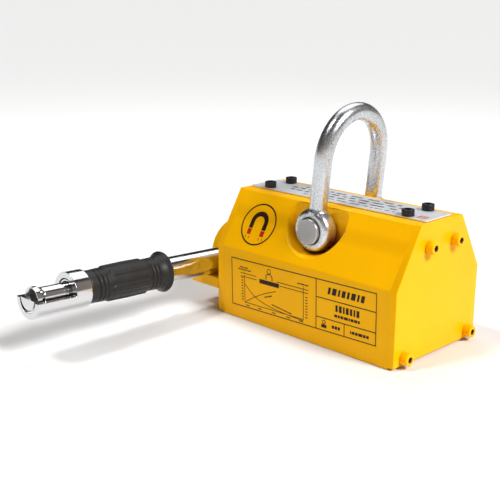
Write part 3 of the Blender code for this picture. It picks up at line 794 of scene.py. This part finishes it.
def cap_screw(node, direction, height, finish, slot):
    low, high = (Vector(corner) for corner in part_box(node))
    way = Vector(direction)
    length = abs((high - low).dot(way))
    head = min((high - low)[i] for i in range(3) if abs(way[i]) < 0.5) / 2
    centre = (low + high) / 2
    seat = centre + way * (length / 2 - height)
    mesh = screw_mesh(node, head, height, length - height, facing(direction, seat))
    show(f"{node}_cap", mesh, "housing", slot, finish, node)
    if slot == "paint":
        # painted shade: a dark cup in each painted socket, for the shade deep inside it
        lining = socket_shade_mesh(f"{node}_socket", height, facing(direction, seat))
        show(f"{node}_socket", lining, "housing", "black_steel", SOCKET_SHADE)
    print(node, "head, in mm:", round(2 * head / MM, 1), "x", round(height / MM, 1))


for node in sorted(frame["nodes"]):
    if node.startswith("right_plate_screw"):
        cap_screw(node, (1, 0, 0), 5.5 * MM, ENAMEL, "paint")
    if node.startswith("nameplate_screw"):
        cap_screw(node, (0, 0, 1), 4.2 * MM, OXIDE, "black_steel")

# %% [markdown]
# ## Shackle
# The shackle is forged from one bar: a round bow, two legs and an eye at the foot of each leg. On a
# forging the bar flows into the eye. A chain of points up one leg, over the bow and down the other
# gives the bar, as a curve with a round bevel.

# %% Shackle bar
LEG = 30 * MM
ROD = 6.25 * MM
BOW_START = 47 * MM
BOW_RISE = 31.8 * MM
EYE = 15 * MM
EYE_MIDDLE = 30.5 * MM
EYE_HALF = 6.5 * MM
EYE_EDGE = 4.5 * MM
EYE_HOLE = 9.75 * MM


def bow_line(steps=48):
    """Points up one leg, over the bow and down the other, in the shackle's own frame."""
    points = [(0, -LEG, height * MM) for height in (8, 16, 24, 32, 40)]
    for index in range(steps + 1):
        angle = math.pi * index / steps
        points.append((0, -LEG * math.cos(angle), BOW_START + BOW_RISE * math.sin(angle)))
    return points + [(0, LEG, height * MM) for height in (40, 32, 24, 16, 8)]


def bar_mesh():
    curve = bpy.data.curves.new("bar", "CURVE")
    curve.dimensions = "3D"
    curve.bevel_depth = ROD
    curve.bevel_resolution = 10
    curve.use_fill_caps = True
    spline = curve.splines.new("POLY")
    line = bow_line()
    spline.points.add(len(line) - 1)
    for point, place in zip(spline.points, line):
        point.co = (*place, 1)
    made = bpy.data.objects.new("bar", curve)
    scene.collection.objects.link(made)
    mesh = applied(made)
    bm = bmesh.new()
    bm.from_mesh(mesh)
    bmesh.ops.remove_doubles(bm, verts=bm.verts, dist=1e-6)
    return finished(bm, "bar")


bar = bar_mesh()
print("faces of the bar:", len(bar.polygons))

# %% [markdown]
# The bar, the two turned eyes and a small cone in each corner are joined, remeshed to one skin and
# smoothed, which fills each corner with a soft web. The pin's holes are cut last, so they are crisp.


# %% Shackle
def eye_matrix(side):
    middle_of_eye = Vector((0, side * EYE_MIDDLE, 0))
    return axes_matrix(Vector((1, 0, 0)), Vector((0, 0, -1)), Vector((0, 1, 0)), middle_of_eye)


def shackle_mesh(bar):
    eyes, holes, webs = [], [], []
    for side in (-1, 1):
        rounds = [(EYE, EYE_HALF, EYE_EDGE), (EYE, -EYE_HALF, EYE_EDGE)]
        corners = [(0, EYE_HALF), *rounds, (0, -EYE_HALF)]
        eyes.append(lathe("eye", fillet(corners, 8, closed=False), eye_matrix(side), 64))
        cone = [(0, 16 * MM), (6 * MM, 16 * MM), (7.1 * MM, 13 * MM), (7.1 * MM, 9 * MM), (0, 9 * MM)]
        webs.append(lathe("web", cone, Matrix.Translation((0, side * LEG, 0)), 32))
        end = EYE_HALF + 2.5 * MM
        corners = [(0, end), (EYE_HOLE, end), (EYE_HOLE, -end), (0, -end)]
        holes.append(lathe("hole", corners, eye_matrix(side), 64))
    whole = helper_object(cut(bar, *eyes, *webs, operation="UNION"))
    skin = whole.modifiers.new("skin", "REMESH")
    skin.mode = "VOXEL"
    skin.voxel_size = 0.55 * MM
    soften = whole.modifiers.new("soften", "SMOOTH")
    soften.factor = 0.5
    soften.iterations = 14
    made = cut(applied(whole), *holes)
    made.transform(SHACKLE)
    print("shackle faces:", len(made.polygons))
    return creased(made, 50)


show("forged_shackle", shackle_mesh(bar), "shackle", "zinc", ZINC, "shackle")

# %% [markdown]
# ## Shackle pin
# The pin is a turned bar. Its end faces show the cutter's rings, so they are real shallow steps.


# %% Pin
RING_STEP = 0.9 * MM
RING_DEPTH = 0.05 * MM


def pin_mesh():
    half = size("shackle_pin").y / 2
    radius = size("shackle_pin").x / 2
    dimple = half - 2 * RING_DEPTH
    rings = [(2.4 * MM + i * RING_STEP, half - RING_DEPTH * (i % 2)) for i in range(6)]
    corners = [(0, dimple), (1.2 * MM, dimple)] + rings + [(radius, half, 0.7 * MM)]
    corners += [(r, -h, *rest) for r, h, *rest in reversed(corners)]
    matrix = facing((0, 1, 0), PIN_CENTRE)
    return lathe("shackle_pin", fillet(corners, 4, closed=False), matrix, 72, sharp=60)


show("turned_pin", pin_mesh(), "housing", "bare_steel", STEEL, "shackle_pin")
print("pin, in mm:", [round(part / MM, 1) for part in size("shackle_pin")])

# %% [markdown]
# ## Nameplate
# A thin brushed aluminium plate lies under the four screws. Its corners are clipped round, and its
# edge is broken so that it catches a line of light. Its print comes later.

# %% Nameplate
PLATE_LOW, PLATE_HIGH = (Vector(corner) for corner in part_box("nameplate"))
PLATE_CORNER = 1.5 * MM
plate_corners = [
    (PLATE_LOW.x, PLATE_LOW.y, PLATE_CORNER),
    (PLATE_HIGH.x, PLATE_LOW.y, PLATE_CORNER),
    (PLATE_HIGH.x, PLATE_HIGH.y, PLATE_CORNER),
    (PLATE_LOW.x, PLATE_HIGH.y, PLATE_CORNER),
]
sheet = prism("nameplate", fillet(plate_corners, 4), PLATE_LOW.z, PLATE_HIGH.z)
sheet = bevelled(sheet, 0.25 * MM, 2)
show("maker_plate", sheet, "housing", "aluminium", ALUMINIUM, "nameplate")
print("nameplate, in mm:", [round(part / MM, 1) for part in PLATE_HIGH - PLATE_LOW])

# %% [markdown]
# ## Lever hub and tube
# The hub is a turned and painted drum on the rotor's shaft, with a wider recess for the screw head
# and a socket in its side for the tube. It is turned along the rotor's axis, and the socket is a
# plug turned along the lever.

# %% Hub
HUB = 25.7 * MM
HUB_INNER, HUB_OUTER = 82 * MM, 111 * MM
SHAFT_BORE = 10 * MM
RECESS = 12.3 * MM
RECESS_FLOOR = 101 * MM
TUBE_HOLE = 9.8 * MM
TUBE_HOLE_FLOOR = 14.7 * MM


def hub_mesh():
    corners = [
        (HUB, HUB_OUTER, 1.2 * MM),
        (HUB, HUB_INNER, 1.0 * MM),
        (SHAFT_BORE, HUB_INNER),
        (SHAFT_BORE, RECESS_FLOOR),
        (RECESS, RECESS_FLOOR),
        (RECESS, HUB_OUTER, 0.6 * MM),
    ]
    drum = lathe("lever_hub", fillet(corners, 4), ALONG_LEFT, 96, closed=True)
    floor, end = TUBE_HOLE_FLOOR, 30 * MM
    plug = [(0, floor), (TUBE_HOLE, floor), (TUBE_HOLE, end), (0, end)]
    return creased(cut(drum, lathe("socket", plug, LEVER, 64)))


show("hub_drum", hub_mesh(), "rotor", "paint", ENAMEL, "lever_hub")
print("hub, in mm across:", round(2 * HUB / MM, 1))

# %% [markdown]
# The tube is a chromed pipe. A slot in its side lets the latch key slide, so it is cut here too.

# %% Tube
TUBE = 9.5 * MM
TUBE_BORE = 7.5 * MM
TUBE_START, TUBE_END = 15 * MM, 165.7 * MM
SLOT_START, SLOT_LENGTH = 27.4 * MM, 14.2 * MM
SLOT_HALF = 2.4 * MM


def tube_mesh():
    rims = [(TUBE, TUBE_END), (TUBE, TUBE_START), (TUBE_BORE, TUBE_START), (TUBE_BORE, TUBE_END)]
    tube = lathe("lever_tube", rims, LEVER, 72, closed=True)
    slot = [(-SLOT_HALF, 0), (SLOT_HALF, 0), (SLOT_HALF, SLOT_LENGTH), (-SLOT_HALF, SLOT_LENGTH)]
    inside = Vector((4 * MM, 0, SLOT_START))
    sideways = axes_matrix(Vector((0, 1, 0)), Vector((0, 0, 1)), Vector((1, 0, 0)), inside)
    return creased(cut(tube, prism("slot", slot, 0, 9 * MM, LEVER @ sideways)))


show("chrome_tube", tube_mesh(), "rotor", "chrome", CHROME, "lever_tube")
print("tube, in mm long:", round((TUBE_END - TUBE_START) / MM, 1))

# %% [markdown]
# ## Grip
# The moulded grip has a flange, three rings at each end and six long raised ovals between them. Its
# radius is written as a function of where you are on it: an outline, less the rings, plus the bars.

# %% Grip's radius
GRIP_START = 90 * MM
GRIP_END = 158 * MM
RINGS = [station * MM for station in (150.5, 147.2, 143.9, 105.8, 102.6, 99.4)]
RING_HALF = 0.9 * MM
BARS = 6
BAR_TURN = 0.14  # how far the bars are turned from the lever's side, in radians
BAR_MIDDLE = 124.5 * MM
BAR_REACH = 14.0 * MM
BAR_RISE = 0.75 * MM
BAR_HALF = 2.3 * MM
BAR_SIDE = 0.55 * MM  # how wide the slope at a bar's edge is
GRIP_MEAN = 12.0 * MM
OUTLINE = [  # (station, radius), in millimetres
    (90.0, 14.1),
    (90.4, 14.7),
    (91.0, 14.8),
    (91.6, 14.5),
    (92.0, 13.7),
    (94.0, 12.6),
    (97.5, 11.7),
    (105.0, 11.6),
    (112.0, 11.9),
    (124.0, 12.0),
    (137.0, 11.8),
    (142.0, 11.6),
    (152.0, 11.4),
    (156.5, 11.3),
    (158.0, 10.7),
]


def smooth_step(value):
    """Eases from 0 to 1, and stays there."""
    value = min(1.0, max(0.0, value))
    return value * value * (3 - 2 * value)


def outline_radius(station):
    for (s0, r0), (s1, r1) in zip(OUTLINE, OUTLINE[1:]):
        if station <= s1 * MM:
            return (r0 + (r1 - r0) * smooth_step((station / MM - s0) / (s1 - s0))) * MM
    return OUTLINE[-1][1] * MM


def bar_height(station, angle):
    """Raised ovals with round ends, evenly spaced round the grip."""
    spacing = 2 * math.pi / BARS
    off = ((angle + BAR_TURN) / spacing + 0.5) % 1 - 0.5
    across = abs(off) * spacing * GRIP_MEAN
    beyond = max(0.0, abs(station - BAR_MIDDLE) - BAR_REACH)
    reach = math.hypot(across, beyond)
    return BAR_RISE * (1 - smooth_step((reach - BAR_HALF) / BAR_SIDE))


def grip_radius(station, angle):
    radius = outline_radius(station)
    for ring in RINGS:
        radius -= RING_HALF * (1 - smooth_step(abs(station - ring) / RING_HALF))
    return radius + bar_height(station, angle)


print("grip's radius on a bar, in mm:", round(grip_radius(BAR_MIDDLE, -BAR_TURN) / MM, 2))

# %% [markdown]
# The mesh is that function on a fine grid, closed by a plain bore.

# %% Grip
GRIP_BORE = 9.8 * MM
GRIP_GRID = 0.45 * MM


def grip_mesh(around=144):
    count = round((GRIP_END - GRIP_START) / GRIP_GRID)
    turn = 2 * math.pi / around
    bm = bmesh.new()
    loops = []
    for index in range(count + 1):
        station = GRIP_START + (GRIP_END - GRIP_START) * index / count
        ring = []
        for k in range(around):
            angle = k * turn
            radius = grip_radius(station, angle)
            ring.append(bm.verts.new((radius * math.cos(angle), radius * math.sin(angle), station)))
        loops.append(ring)
    for station in (GRIP_END, GRIP_START):
        loops.append([bm.verts.new((x, y, station)) for x, y in circle(GRIP_BORE, around)])
    for low, high in zip(loops, loops[1:] + loops[:1]):
        for k in range(around):
            nxt = (k + 1) % around
            bm.faces.new((low[k], low[nxt], high[nxt], high[k]))
    print("grip faces:", len(bm.faces))
    return finished(bm, "grip", 60, LEVER)


show("moulded_grip", grip_mesh(), "rotor", "rubber", RUBBER, "grip")

# %% [markdown]
# ## End barrel and thumb button
# The barrel is a chromed bar, bored, with its outer part milled open above so that a thumb reaches
# the button. Its milled edges are only just broken, so a narrow bevel follows the Boolean.

# %% Barrel
BARREL = 13.2 * MM
BARREL_START = 158.3 * MM
LEVER_END = 200 * MM
TUBE_SOCKET, TUBE_SOCKET_END = 9.8 * MM, 166 * MM
BORE = 9.0 * MM
WALL = 171 * MM  # where the milled trough ends
CUT = 0.3 * MM  # the trough's flats lie this far under the axis
CLEAR = 20 * MM  # past the barrel's skin on every side


def slab(name, low, high, start, end):
    """A block right across the lever: from low to high in Y, between two stations."""
    outline = [(-CLEAR, low), (CLEAR, low), (CLEAR, high), (-CLEAR, high)]
    return prism(name, outline, start, end)


def barrel_mesh():
    corners = [
        (BARREL, LEVER_END, 0.7 * MM),
        (BARREL, BARREL_START, 1.2 * MM),
        (TUBE_SOCKET, BARREL_START),
        (TUBE_SOCKET, TUBE_SOCKET_END),
        (BORE, TUBE_SOCKET_END),
        (BORE, LEVER_END, 0.3 * MM),
    ]
    bar = lathe("latch_barrel", fillet(corners, 4), None, 96, closed=True)
    trough = slab("trough", -CUT, CLEAR, WALL, LEVER_END + 5 * MM)
    made = bevelled(cut(bar, trough), 0.45 * MM, 3, 40)
    made.transform(LEVER)
    return made


show("end_barrel", barrel_mesh(), "rotor", "chrome", CHROME, "latch_barrel")
print("barrel, in mm:", round(2 * BARREL / MM, 1), "x", round((LEVER_END - BARREL_START) / MM, 1))

# %% [markdown]
# The button is turned from one bar: a rod, a neck and a head. The head is flush below, and set back
# above in a dish that takes the thumb. A crescent is taken off its underside to clear the bore.

# %% Button
BUTTON_ROD, BUTTON_NECK, BUTTON_HEAD = 6.5 * MM, 4.5 * MM, 7.9 * MM
BUTTON_START, NECK_START, HEAD_START = 164 * MM, 191 * MM, 193.5 * MM
DISH_FLOOR, DISH_RIM = 194.9 * MM, 197.0 * MM
DISH_LOW = 0.3 * MM  # the dish starts this far above the axis
CRESCENT = 0.9 * MM
FACE_GAP = 0.05 * MM


def dish_cutter():
    top = LEVER_END + 5 * MM
    bottom = [(0, DISH_FLOOR), (4 * MM, DISH_FLOOR + 0.5 * MM, 2 * MM), (7.2 * MM, DISH_RIM, 1 * MM)]
    corners = bottom + [(9 * MM, DISH_RIM), (9 * MM, top), (0, top)]
    bowl = lathe("dish", fillet(corners, 4, closed=False), None, 72)
    return cut(bowl, slab("below", -CLEAR, DISH_LOW, NECK_START, LEVER_END + 10 * MM))


def crescent_cutter():
    rim = prism("rim", circle(12 * MM, 72), HEAD_START - 0.9 * MM, LEVER_END + 2 * MM)
    kept = circle(BUTTON_HEAD, 72, (0, CRESCENT))
    return cut(rim, prism("kept", kept, NECK_START, LEVER_END + 3 * MM))


def button_mesh():
    face = LEVER_END - FACE_GAP
    corners = [
        (0, face),
        (BUTTON_HEAD, face, 0.4 * MM),
        (BUTTON_HEAD, HEAD_START, 0.5 * MM),
        (BUTTON_NECK, HEAD_START),
        (BUTTON_NECK, NECK_START),
        (BUTTON_ROD, NECK_START, 0.8 * MM),
        (BUTTON_ROD, BUTTON_START),
        (0, BUTTON_START),
    ]
    bar = lathe("thumb_button", fillet(corners, 4, closed=False), None, 72)
    made = bevelled(cut(bar, dish_cutter(), crescent_cutter()), 0.15 * MM, 2, 40)
    made.transform(LEVER)
    return made


show("button", button_mesh(), "button", "chrome", CHROME, "thumb_button")
print("button, in mm long:", round((LEVER_END - BUTTON_START) / MM, 1))

# %% [markdown]
# A bush in the barrel guides the button's rod. Only its end shows, as a thin bright ring round the
# rod, so its rims are broken to catch the light.

# %% Bush
BUSH, BUSH_BORE = 8.3 * MM, 7.1 * MM
BUSH_START, BUSH_END = 166.3 * MM, 170.6 * MM
BUSH_RIM = 0.2 * MM
outer_wall = [(BUSH, BUSH_END, BUSH_RIM), (BUSH, BUSH_START)]
inner_wall = [(BUSH_BORE, BUSH_START), (BUSH_BORE, BUSH_END, BUSH_RIM)]
bush = lathe("button_bush", fillet(outer_wall + inner_wall, 4), LEVER, 64, closed=True)
show("bush_ring", bush, "rotor", "chrome", CHROME, "button_bush")
print("play round the rod, in mm:", round((BUSH_BORE - BUTTON_ROD) / MM, 2))

# %% [markdown]
# ## Finishes of the parts that stay
# The hidden parts keep their CAD shape and take a finish each: ground steel on the poles and
# bearings, nickel on the magnets, brass on the separator and the rod guide. The record says what
# each part is made of. The poles are a darker steel than the rest.

# %% Give every remaining part its finish
KEPT = {
    "bare_steel": STEEL,
    "zinc": ZINC,
    "chrome": CHROME,
    "aluminium": ALUMINIUM,
    "black_steel": OXIDE,
    "rubber": RUBBER,
    "brass": BRASS,
    "magnet": NICKEL,
    "paint": ENAMEL,
}
slot_of = {part["node"]: part["material_slot"] for part in frame["record"]["subparts"]}
for node, made in frame["nodes"].items():
    made.data.materials.clear()
    made.data.materials.append(POLE_STEEL if node.startswith("rotor_pole") else KEPT[slot_of[node]])
print("finished CAD nodes:", len(slot_of))

# %% [markdown]
# ## Printed labels
# Print is a layer of ink. Each line is a thin flat ribbon of real geometry laid just above the
# paint, drawn in a flat frame and then moved onto the body. There are no words: short bars stand
# where a word would be.


# %% Ribbons of ink
INK_LOW, INK_HIGH = 0.02 * MM, 0.06 * MM


class Print:
    """A flat drawing in millimetres, made of thin ribbons."""

    def __init__(self, name, matrix, finish, slot="black_steel"):
        self.name = name
        self.matrix = matrix
        self.finish = finish
        self.slot = slot
        self.bm = bmesh.new()

    def patch(self, corners):
        low = [self.bm.verts.new((x * MM, y * MM, INK_LOW)) for x, y in corners]
        high = [self.bm.verts.new((x * MM, y * MM, INK_HIGH)) for x, y in corners]
        self.bm.faces.new(high)
        self.bm.faces.new(low[::-1])
        count = len(corners)
        for i in range(count):
            j = (i + 1) % count
            self.bm.faces.new((low[i], low[j], high[j], high[i]))

    def line(self, points, width=0.35, closed=False):
        points = [Vector(point) for point in points]
        count = len(points)
        sides = []
        for i, here in enumerate(points):
            back = points[i - 1] if closed or i else here
            ahead = points[(i + 1) % count] if closed or i < count - 1 else here
            into = (here - back).normalized() if here != back else (ahead - here).normalized()
            out = (ahead - here).normalized() if ahead != here else into
            way = (into + out).normalized()
            normal = Vector((-way.y, way.x))
            stretch = 1 / max(0.5, way.dot(into))
            sides.append((here + normal * width / 2 * stretch, here - normal * width / 2 * stretch))
        pairs = list(zip(sides, sides[1:] + (sides[:1] if closed else [])))
        for (a, b), (c, d) in pairs:
            self.patch([a, b, d, c])

    def dashes(self, start, end, height, sizes, gap=0.35, lean=0.0):
        """A row of short bars between two points, where a word would be."""
        start, end = Vector(start), Vector(end)
        way = (end - start).normalized()
        up = Vector((-way.y, way.x)) * height + way * height * lean
        room = (end - start).length - gap * (len(sizes) - 1)
        place = start
        for share in sizes:
            long = way * room * share / sum(sizes)
            self.patch([place, place + long, place + long + up, place + up])
            place = place + long + way * gap

    def show(self):
        print(self.name, "faces:", len(self.bm.faces))
        mesh = finished(self.bm, self.name, 35, self.matrix)
        show(self.name, mesh, "housing", self.slot, self.finish)


print("thickness of the ink, in mm:", round((INK_HIGH - INK_LOW) / MM, 2))

# %% [markdown]
# The large label on the front is a frame with a chart on the left and a small table on the right.
# It was stuck on a little crooked, so its own frame is turned too. All of it is drawn in
# millimetres from the label's middle.


# %% Label's frame
LABEL_TURN = Matrix.Rotation(math.radians(1.56), 4, "Z")
LABEL_MIDDLE = Vector((0, -HALF, 29 * MM))
FRONT_FACE = axes_matrix(Vector((1, 0, 0)), Vector((0, 0, 1)), Vector((0, -1, 0)), LABEL_MIDDLE)
LABEL_HALF = (66.0, 17.5)
DIVIDER = 15.5


def label_frame(ink):
    wide, tall = LABEL_HALF
    ink.line([(-wide, -tall), (wide, -tall), (wide, tall), (-wide, tall)], 0.7, closed=True)
    ink.line([(DIVIDER, -tall), (DIVIDER, tall)], 0.7)
    for height in (5.0, -8.8):
        ink.line([(DIVIDER, height), (wide, height)], 0.7)
    ink.line([(40, -8.8), (40, -tall)], 0.65)


print("label, in mm:", 2 * LABEL_HALF[0], "x", 2 * LABEL_HALF[1])

# %% [markdown]
# The chart has one curve that falls away as a gap grows, and one that rises and flattens. The
# falling one is a formula, so it is smooth at any number of points.


# %% Label's chart
CHART_LEFT, CHART_RIGHT = -53.0, 4.0
CHART_FOOT = -14.0
CHART_RAILS = (5.2, 7.6)
TICK_START, TICK_STEP = -12.2, 2.05


def chart_curve(steps=24):
    points = []
    for index in range(steps + 1):
        along = (CHART_RIGHT - CHART_LEFT) * index / steps
        fall = 15.2 / (1 + (along / 11.0) ** 1.35)
        points.append((CHART_LEFT + along, -16.6 + fall + 1.2 * (1 - index / steps)))
    return points


def label_chart(ink):
    ink.line([(CHART_LEFT, CHART_FOOT), (CHART_LEFT, 6.5)], 0.5)
    ink.line([(CHART_LEFT, CHART_FOOT), (CHART_RIGHT, CHART_FOOT - 0.2)], 0.5)
    ink.line([(CHART_RIGHT, CHART_FOOT - 0.2), (CHART_RIGHT, 8.2)], 0.5)
    for height in CHART_RAILS:
        ink.line([(-57, height), (-41, height)], 0.5)
        ink.line([(-21, height), (8.5, height)], 0.5)
    for x in (CHART_LEFT, CHART_RIGHT):
        ink.line([(x, 7.6), (x, 9.6)], 0.3)
    ink.line(chart_curve(), 0.5)
    ink.line([(CHART_LEFT, CHART_FOOT), (-43.5, -8.4), (-33, -3.4), (-22, 0.4)], 0.5)
    for index in range(9):
        height = TICK_START + index * TICK_STEP
        ink.line([(-56.2, height), (-54.4, height)], 0.75)
        if index < 8:
            ink.line([(5.6, height), (7.8, height)], 0.65)
    for x in (-50, -38, -24, -10, 2):
        ink.line([(x - 1.8, -15.9), (x + 1.8, -15.9)], 0.7)
    ink.dashes((-57.5, 11.6), (-49.5, 11.6), 0.8, (3, 1, 4))
    ink.dashes((-59.5, 9.9), (-46.5, 9.9), 0.8, (2, 4, 3, 4))
    ink.dashes((-1.5, 10.4), (8.5, 10.4), 0.8, (2, 4, 3))
    ink.dashes((-33.0, -6.6), (-25.5, -4.0), 0.8, (3, 4))
    ink.dashes((-26.0, -10.4), (-7.0, -13.2), 0.8, (3, 4, 2, 4, 3))


print("points on the chart's curve:", len(chart_curve()))

# %% [markdown]
# Above the chart is a small sign of a hook's ring over a steel plate. The table's rows hold bars of
# several sizes, and a small weight.


# %% Label's signs and table
def lifting_sign(ink, x):
    """A ring and two slings over a plate."""
    ink.patch([(x - 9.5, 3.4), (x + 9.5, 3.4), (x + 9.5, 6.6), (x - 9.5, 6.6)])
    sling = [(3.0, 7.2), (3.0, 10.0), (1.3, 11.6)]
    ink.line([(x - dx, y) for dx, y in sling] + [(x + dx, y) for dx, y in reversed(sling)], 0.7)
    ink.line(circle(1.7, 20, (x, 13.6)), 0.5, closed=True)


def label_table(ink):
    ink.dashes((25.5, 8.8), (56.0, 8.8), 4.8, (1.5, 2.6, 1.2, 2.2, 1.4, 2.6, 1.2, 2.0), 1.5, 0.22)
    ink.dashes((32.5, -2.0), (52.5, -2.0), 4.6, (1.6, 2, 1.2, 2, 1.6, 1.2, 2), 1.1)
    ink.dashes((31.5, -5.9), (53, -5.9), 1.9, (3, 2, 3, 4, 1.5, 3, 3, 2), 0.5)
    ink.dashes((29.5, -14.4), (36.5, -14.4), 2.2, (2, 2, 2), 0.5)
    ink.dashes((45, -14.4), (60.5, -14.4), 2.0, (1, 2, 2, 3, 2, 2), 0.5)
    ink.line(circle(1.2, 16, (22.5, -11.6)), 0.6, closed=True)
    ink.patch([(20.2, -15.6), (24.8, -15.6), (24.8, -13.2), (20.2, -13.2)])


label_ink = Print("front_label", FRONT_FACE @ LABEL_TURN, INK)
label_frame(label_ink)
label_chart(label_ink)
lifting_sign(label_ink, -28.5)
label_table(label_ink)
label_ink.show()

# %% [markdown]
# The ring on the slope holds a plain horseshoe magnet, in dark ink with red tips: a sign that says
# nothing but "magnet".

# %% Ring label
SLOPE_UP = Vector((0, HALF - TOP_HALF, HEIGHT - SHOULDER)).normalized()
SLOPE_OUT = Vector((1, 0, 0)).cross(SLOPE_UP)
RING_CENTRE = Vector((-49.9 * MM, -HALF, SHOULDER)) + SLOPE_UP * 21.2 * MM
ON_SLOPE = axes_matrix(Vector((1, 0, 0)), SLOPE_UP, SLOPE_OUT, RING_CENTRE)
RING = 15.4
HORSESHOE = 6.3
POLE_WIDTH = 3.7


def arc(radius, low, high, steps=20, centre=(0, 0)):
    angles = [math.radians(low + (high - low) * i / steps) for i in range(steps + 1)]
    return [(centre[0] + radius * math.cos(a), centre[1] + radius * math.sin(a)) for a in angles]


def ring_label():
    ink = Print("ring_label", ON_SLOPE, INK)
    ink.line(circle(RING, 72), 1.15, closed=True)
    horseshoe = [(-HORSESHOE, -3.6)] + arc(HORSESHOE, 180, 0, 20, (0, 1.8)) + [(HORSESHOE, -3.6)]
    ink.line(horseshoe, POLE_WIDTH)
    ink.show()
    tips = Print("ring_tips", ON_SLOPE, RED_INK, "paint")
    for side in (-1, 1):
        tips.line([(side * HORSESHOE, -4.1), (side * HORSESHOE, -8.4)], POLE_WIDTH)
        for across in (-1.6, 1.6):
            x = side * HORSESHOE + across
            tips.line([(x, -9.6), (x * 1.06, -11.6)], 0.7)
    tips.show()


ring_label()

# %% [markdown]
# The nameplate's print is four rows and one red mark. A row is a run of dashes of uneven length,
# from a fixed noise, so it looks like small print and says nothing.

# %% Nameplate print
ON_PLATE = Matrix.Translation((0, 0, PLATE_HIGH.z))


def plate_print():
    ink = Print("plate_print", ON_PLATE, GREY_INK)
    rows = ((-44, 40, 7.4, 2.4), (-52, 52, 1.4, 2.6), (-48, 46, -4.8, 2.6), (-30, 54, -10.4, 1.8))
    for row, (start, stop, y, height) in enumerate(rows):
        place = start
        index = 0
        while place < stop:
            chance = abs(noise.noise((index * 0.93, row * 2.3, 4.1)))
            letters = 2 + int(9 * chance)
            length = letters * height * 0.62
            sizes = [1 + (k * (index + row + 3)) % 3 for k in range(letters)]
            ink.dashes((place, y), (place + length, y), height, sizes, 0.55, 0.15)
            place += length + height * (0.9 + 2 * chance)
            index += 1
    ink.show()
    mark = Print("plate_mark", ON_PLATE, RED_INK, "paint")
    mark.line([(68.2, -10.5), (73.8, -10.5), (73.8, -5.6), (68.2, -5.6)], 0.9, closed=True)
    mark.line([(69.0, -8.0), (73.0, -8.0)], 1.1)
    mark.show()


plate_print()

# %% [markdown]
# ## Floor, light and camera
# The floor is plain and pale, and runs far past the camera's view so that no edge of it shows.


# %% Floor
FLOOR_HALF = 60.0
FLOOR_THICK = 0.002
FLOOR_DROP = 0.2 * MM
around = [(-FLOOR_HALF, -FLOOR_HALF), (FLOOR_HALF, -FLOOR_HALF)]
around += [(FLOOR_HALF, FLOOR_HALF), (-FLOOR_HALF, FLOOR_HALF)]
floor = bpy.data.objects.new("floor", prism("floor", around, -FLOOR_DROP - FLOOR_THICK, -FLOOR_DROP))
scene.collection.objects.link(floor)
pale = Finish("floor", Base_Color=(0.76, 0.76, 0.76), Roughness=0.9)
floor.data.materials.append(pale.material)
print("floor, in m across:", 2 * FLOOR_HALF)

# %% [markdown]
# A broad sun from the right brightens the end plate. A weaker one from above and in front lights
# the slope and leaves the front a little darker. Suns light the far floor as well as the near one.
# One large lamp overhead puts soft highlights on the round parts.


# %% Light
def lamp(name, place, target, wide, deep, power):
    light = bpy.data.lights.new(name, "AREA")
    light.shape = "RECTANGLE"
    light.size = wide
    light.size_y = deep
    light.energy = power
    made = bpy.data.objects.new(name, light)
    made.location = place
    made.rotation_euler = (Vector(target) - Vector(place)).to_track_quat("-Z", "Y").to_euler()
    scene.collection.objects.link(made)


def sun(name, direction, strength, spread):
    light = bpy.data.lights.new(name, "SUN")
    light.energy = strength
    light.angle = math.radians(spread)
    made = bpy.data.objects.new(name, light)
    made.rotation_euler = Vector(direction).to_track_quat("Z", "Y").to_euler()
    scene.collection.objects.link(made)


sun("key", (0.74, 0.08, 0.66), 3.6, 18)
sun("fill", (-0.30, -0.50, 1.05), 1.26, 10)
lamp("overhead", (-0.35, 0.45, 1.05), (-0.05, -0.05, 0.05), 1.0, 0.9, 5.5)
print("lights:", ", ".join(light.name for light in bpy.data.lights))

# %% [markdown]
# The world is what the chrome shows: a dim warm room to the right, and darkness above and to the
# left. One ramp over the height and the side of each direction makes it, and another lays a pale
# band along the horizon, where it meets the floor.

# %% World
world = bpy.data.worlds.new("studio")
scene.world = world
world.use_nodes = True
room = Graph(world.node_tree)
direction = room.add("ShaderNodeTexCoord", out=0)
side = room.add("ShaderNodeSeparateXYZ", sockets={0: direction}, out=0)
height = room.add("ShaderNodeSeparateXYZ", sockets={0: direction}, out=2)
tone = room.ramp(height - side * 0.6, [(0.36, (0.24, 0.205, 0.185)), (0.52, (0.03, 0.03, 0.03))])
horizon = room.ramp(height, [(0.04, WHITE), (0.10, BLACK)])
background = world.node_tree.nodes["Background"]
room.put(background.inputs["Color"], room.mix(horizon, tone, (0.86, 0.86, 0.86)))
scene.view_settings.view_transform = "Standard"
print("world nodes:", len(world.node_tree.nodes))

# %% [markdown]
# The camera stands in front and to the right, a little above, and looks across the long body.

# %% Camera
CAMERA_PLACE = Vector((0.3980, -0.4896, 0.2312))
CAMERA_TARGET = Vector((-0.0591, -0.0347, 0.0493))
camera = bpy.data.cameras.new("camera")
camera.lens = 66.08
camera.sensor_width = 36
view = bpy.data.objects.new("camera", camera)
scene.collection.objects.link(view)
look = (CAMERA_TARGET - CAMERA_PLACE).to_track_quat("-Z", "Y").to_matrix().to_4x4()
roll = Matrix.Rotation(math.radians(0.3), 4, "Z")
view.matrix_world = Matrix.Translation(CAMERA_PLACE) @ look @ roll
scene.camera = view
print("camera distance:", round((CAMERA_TARGET - CAMERA_PLACE).length, 3))
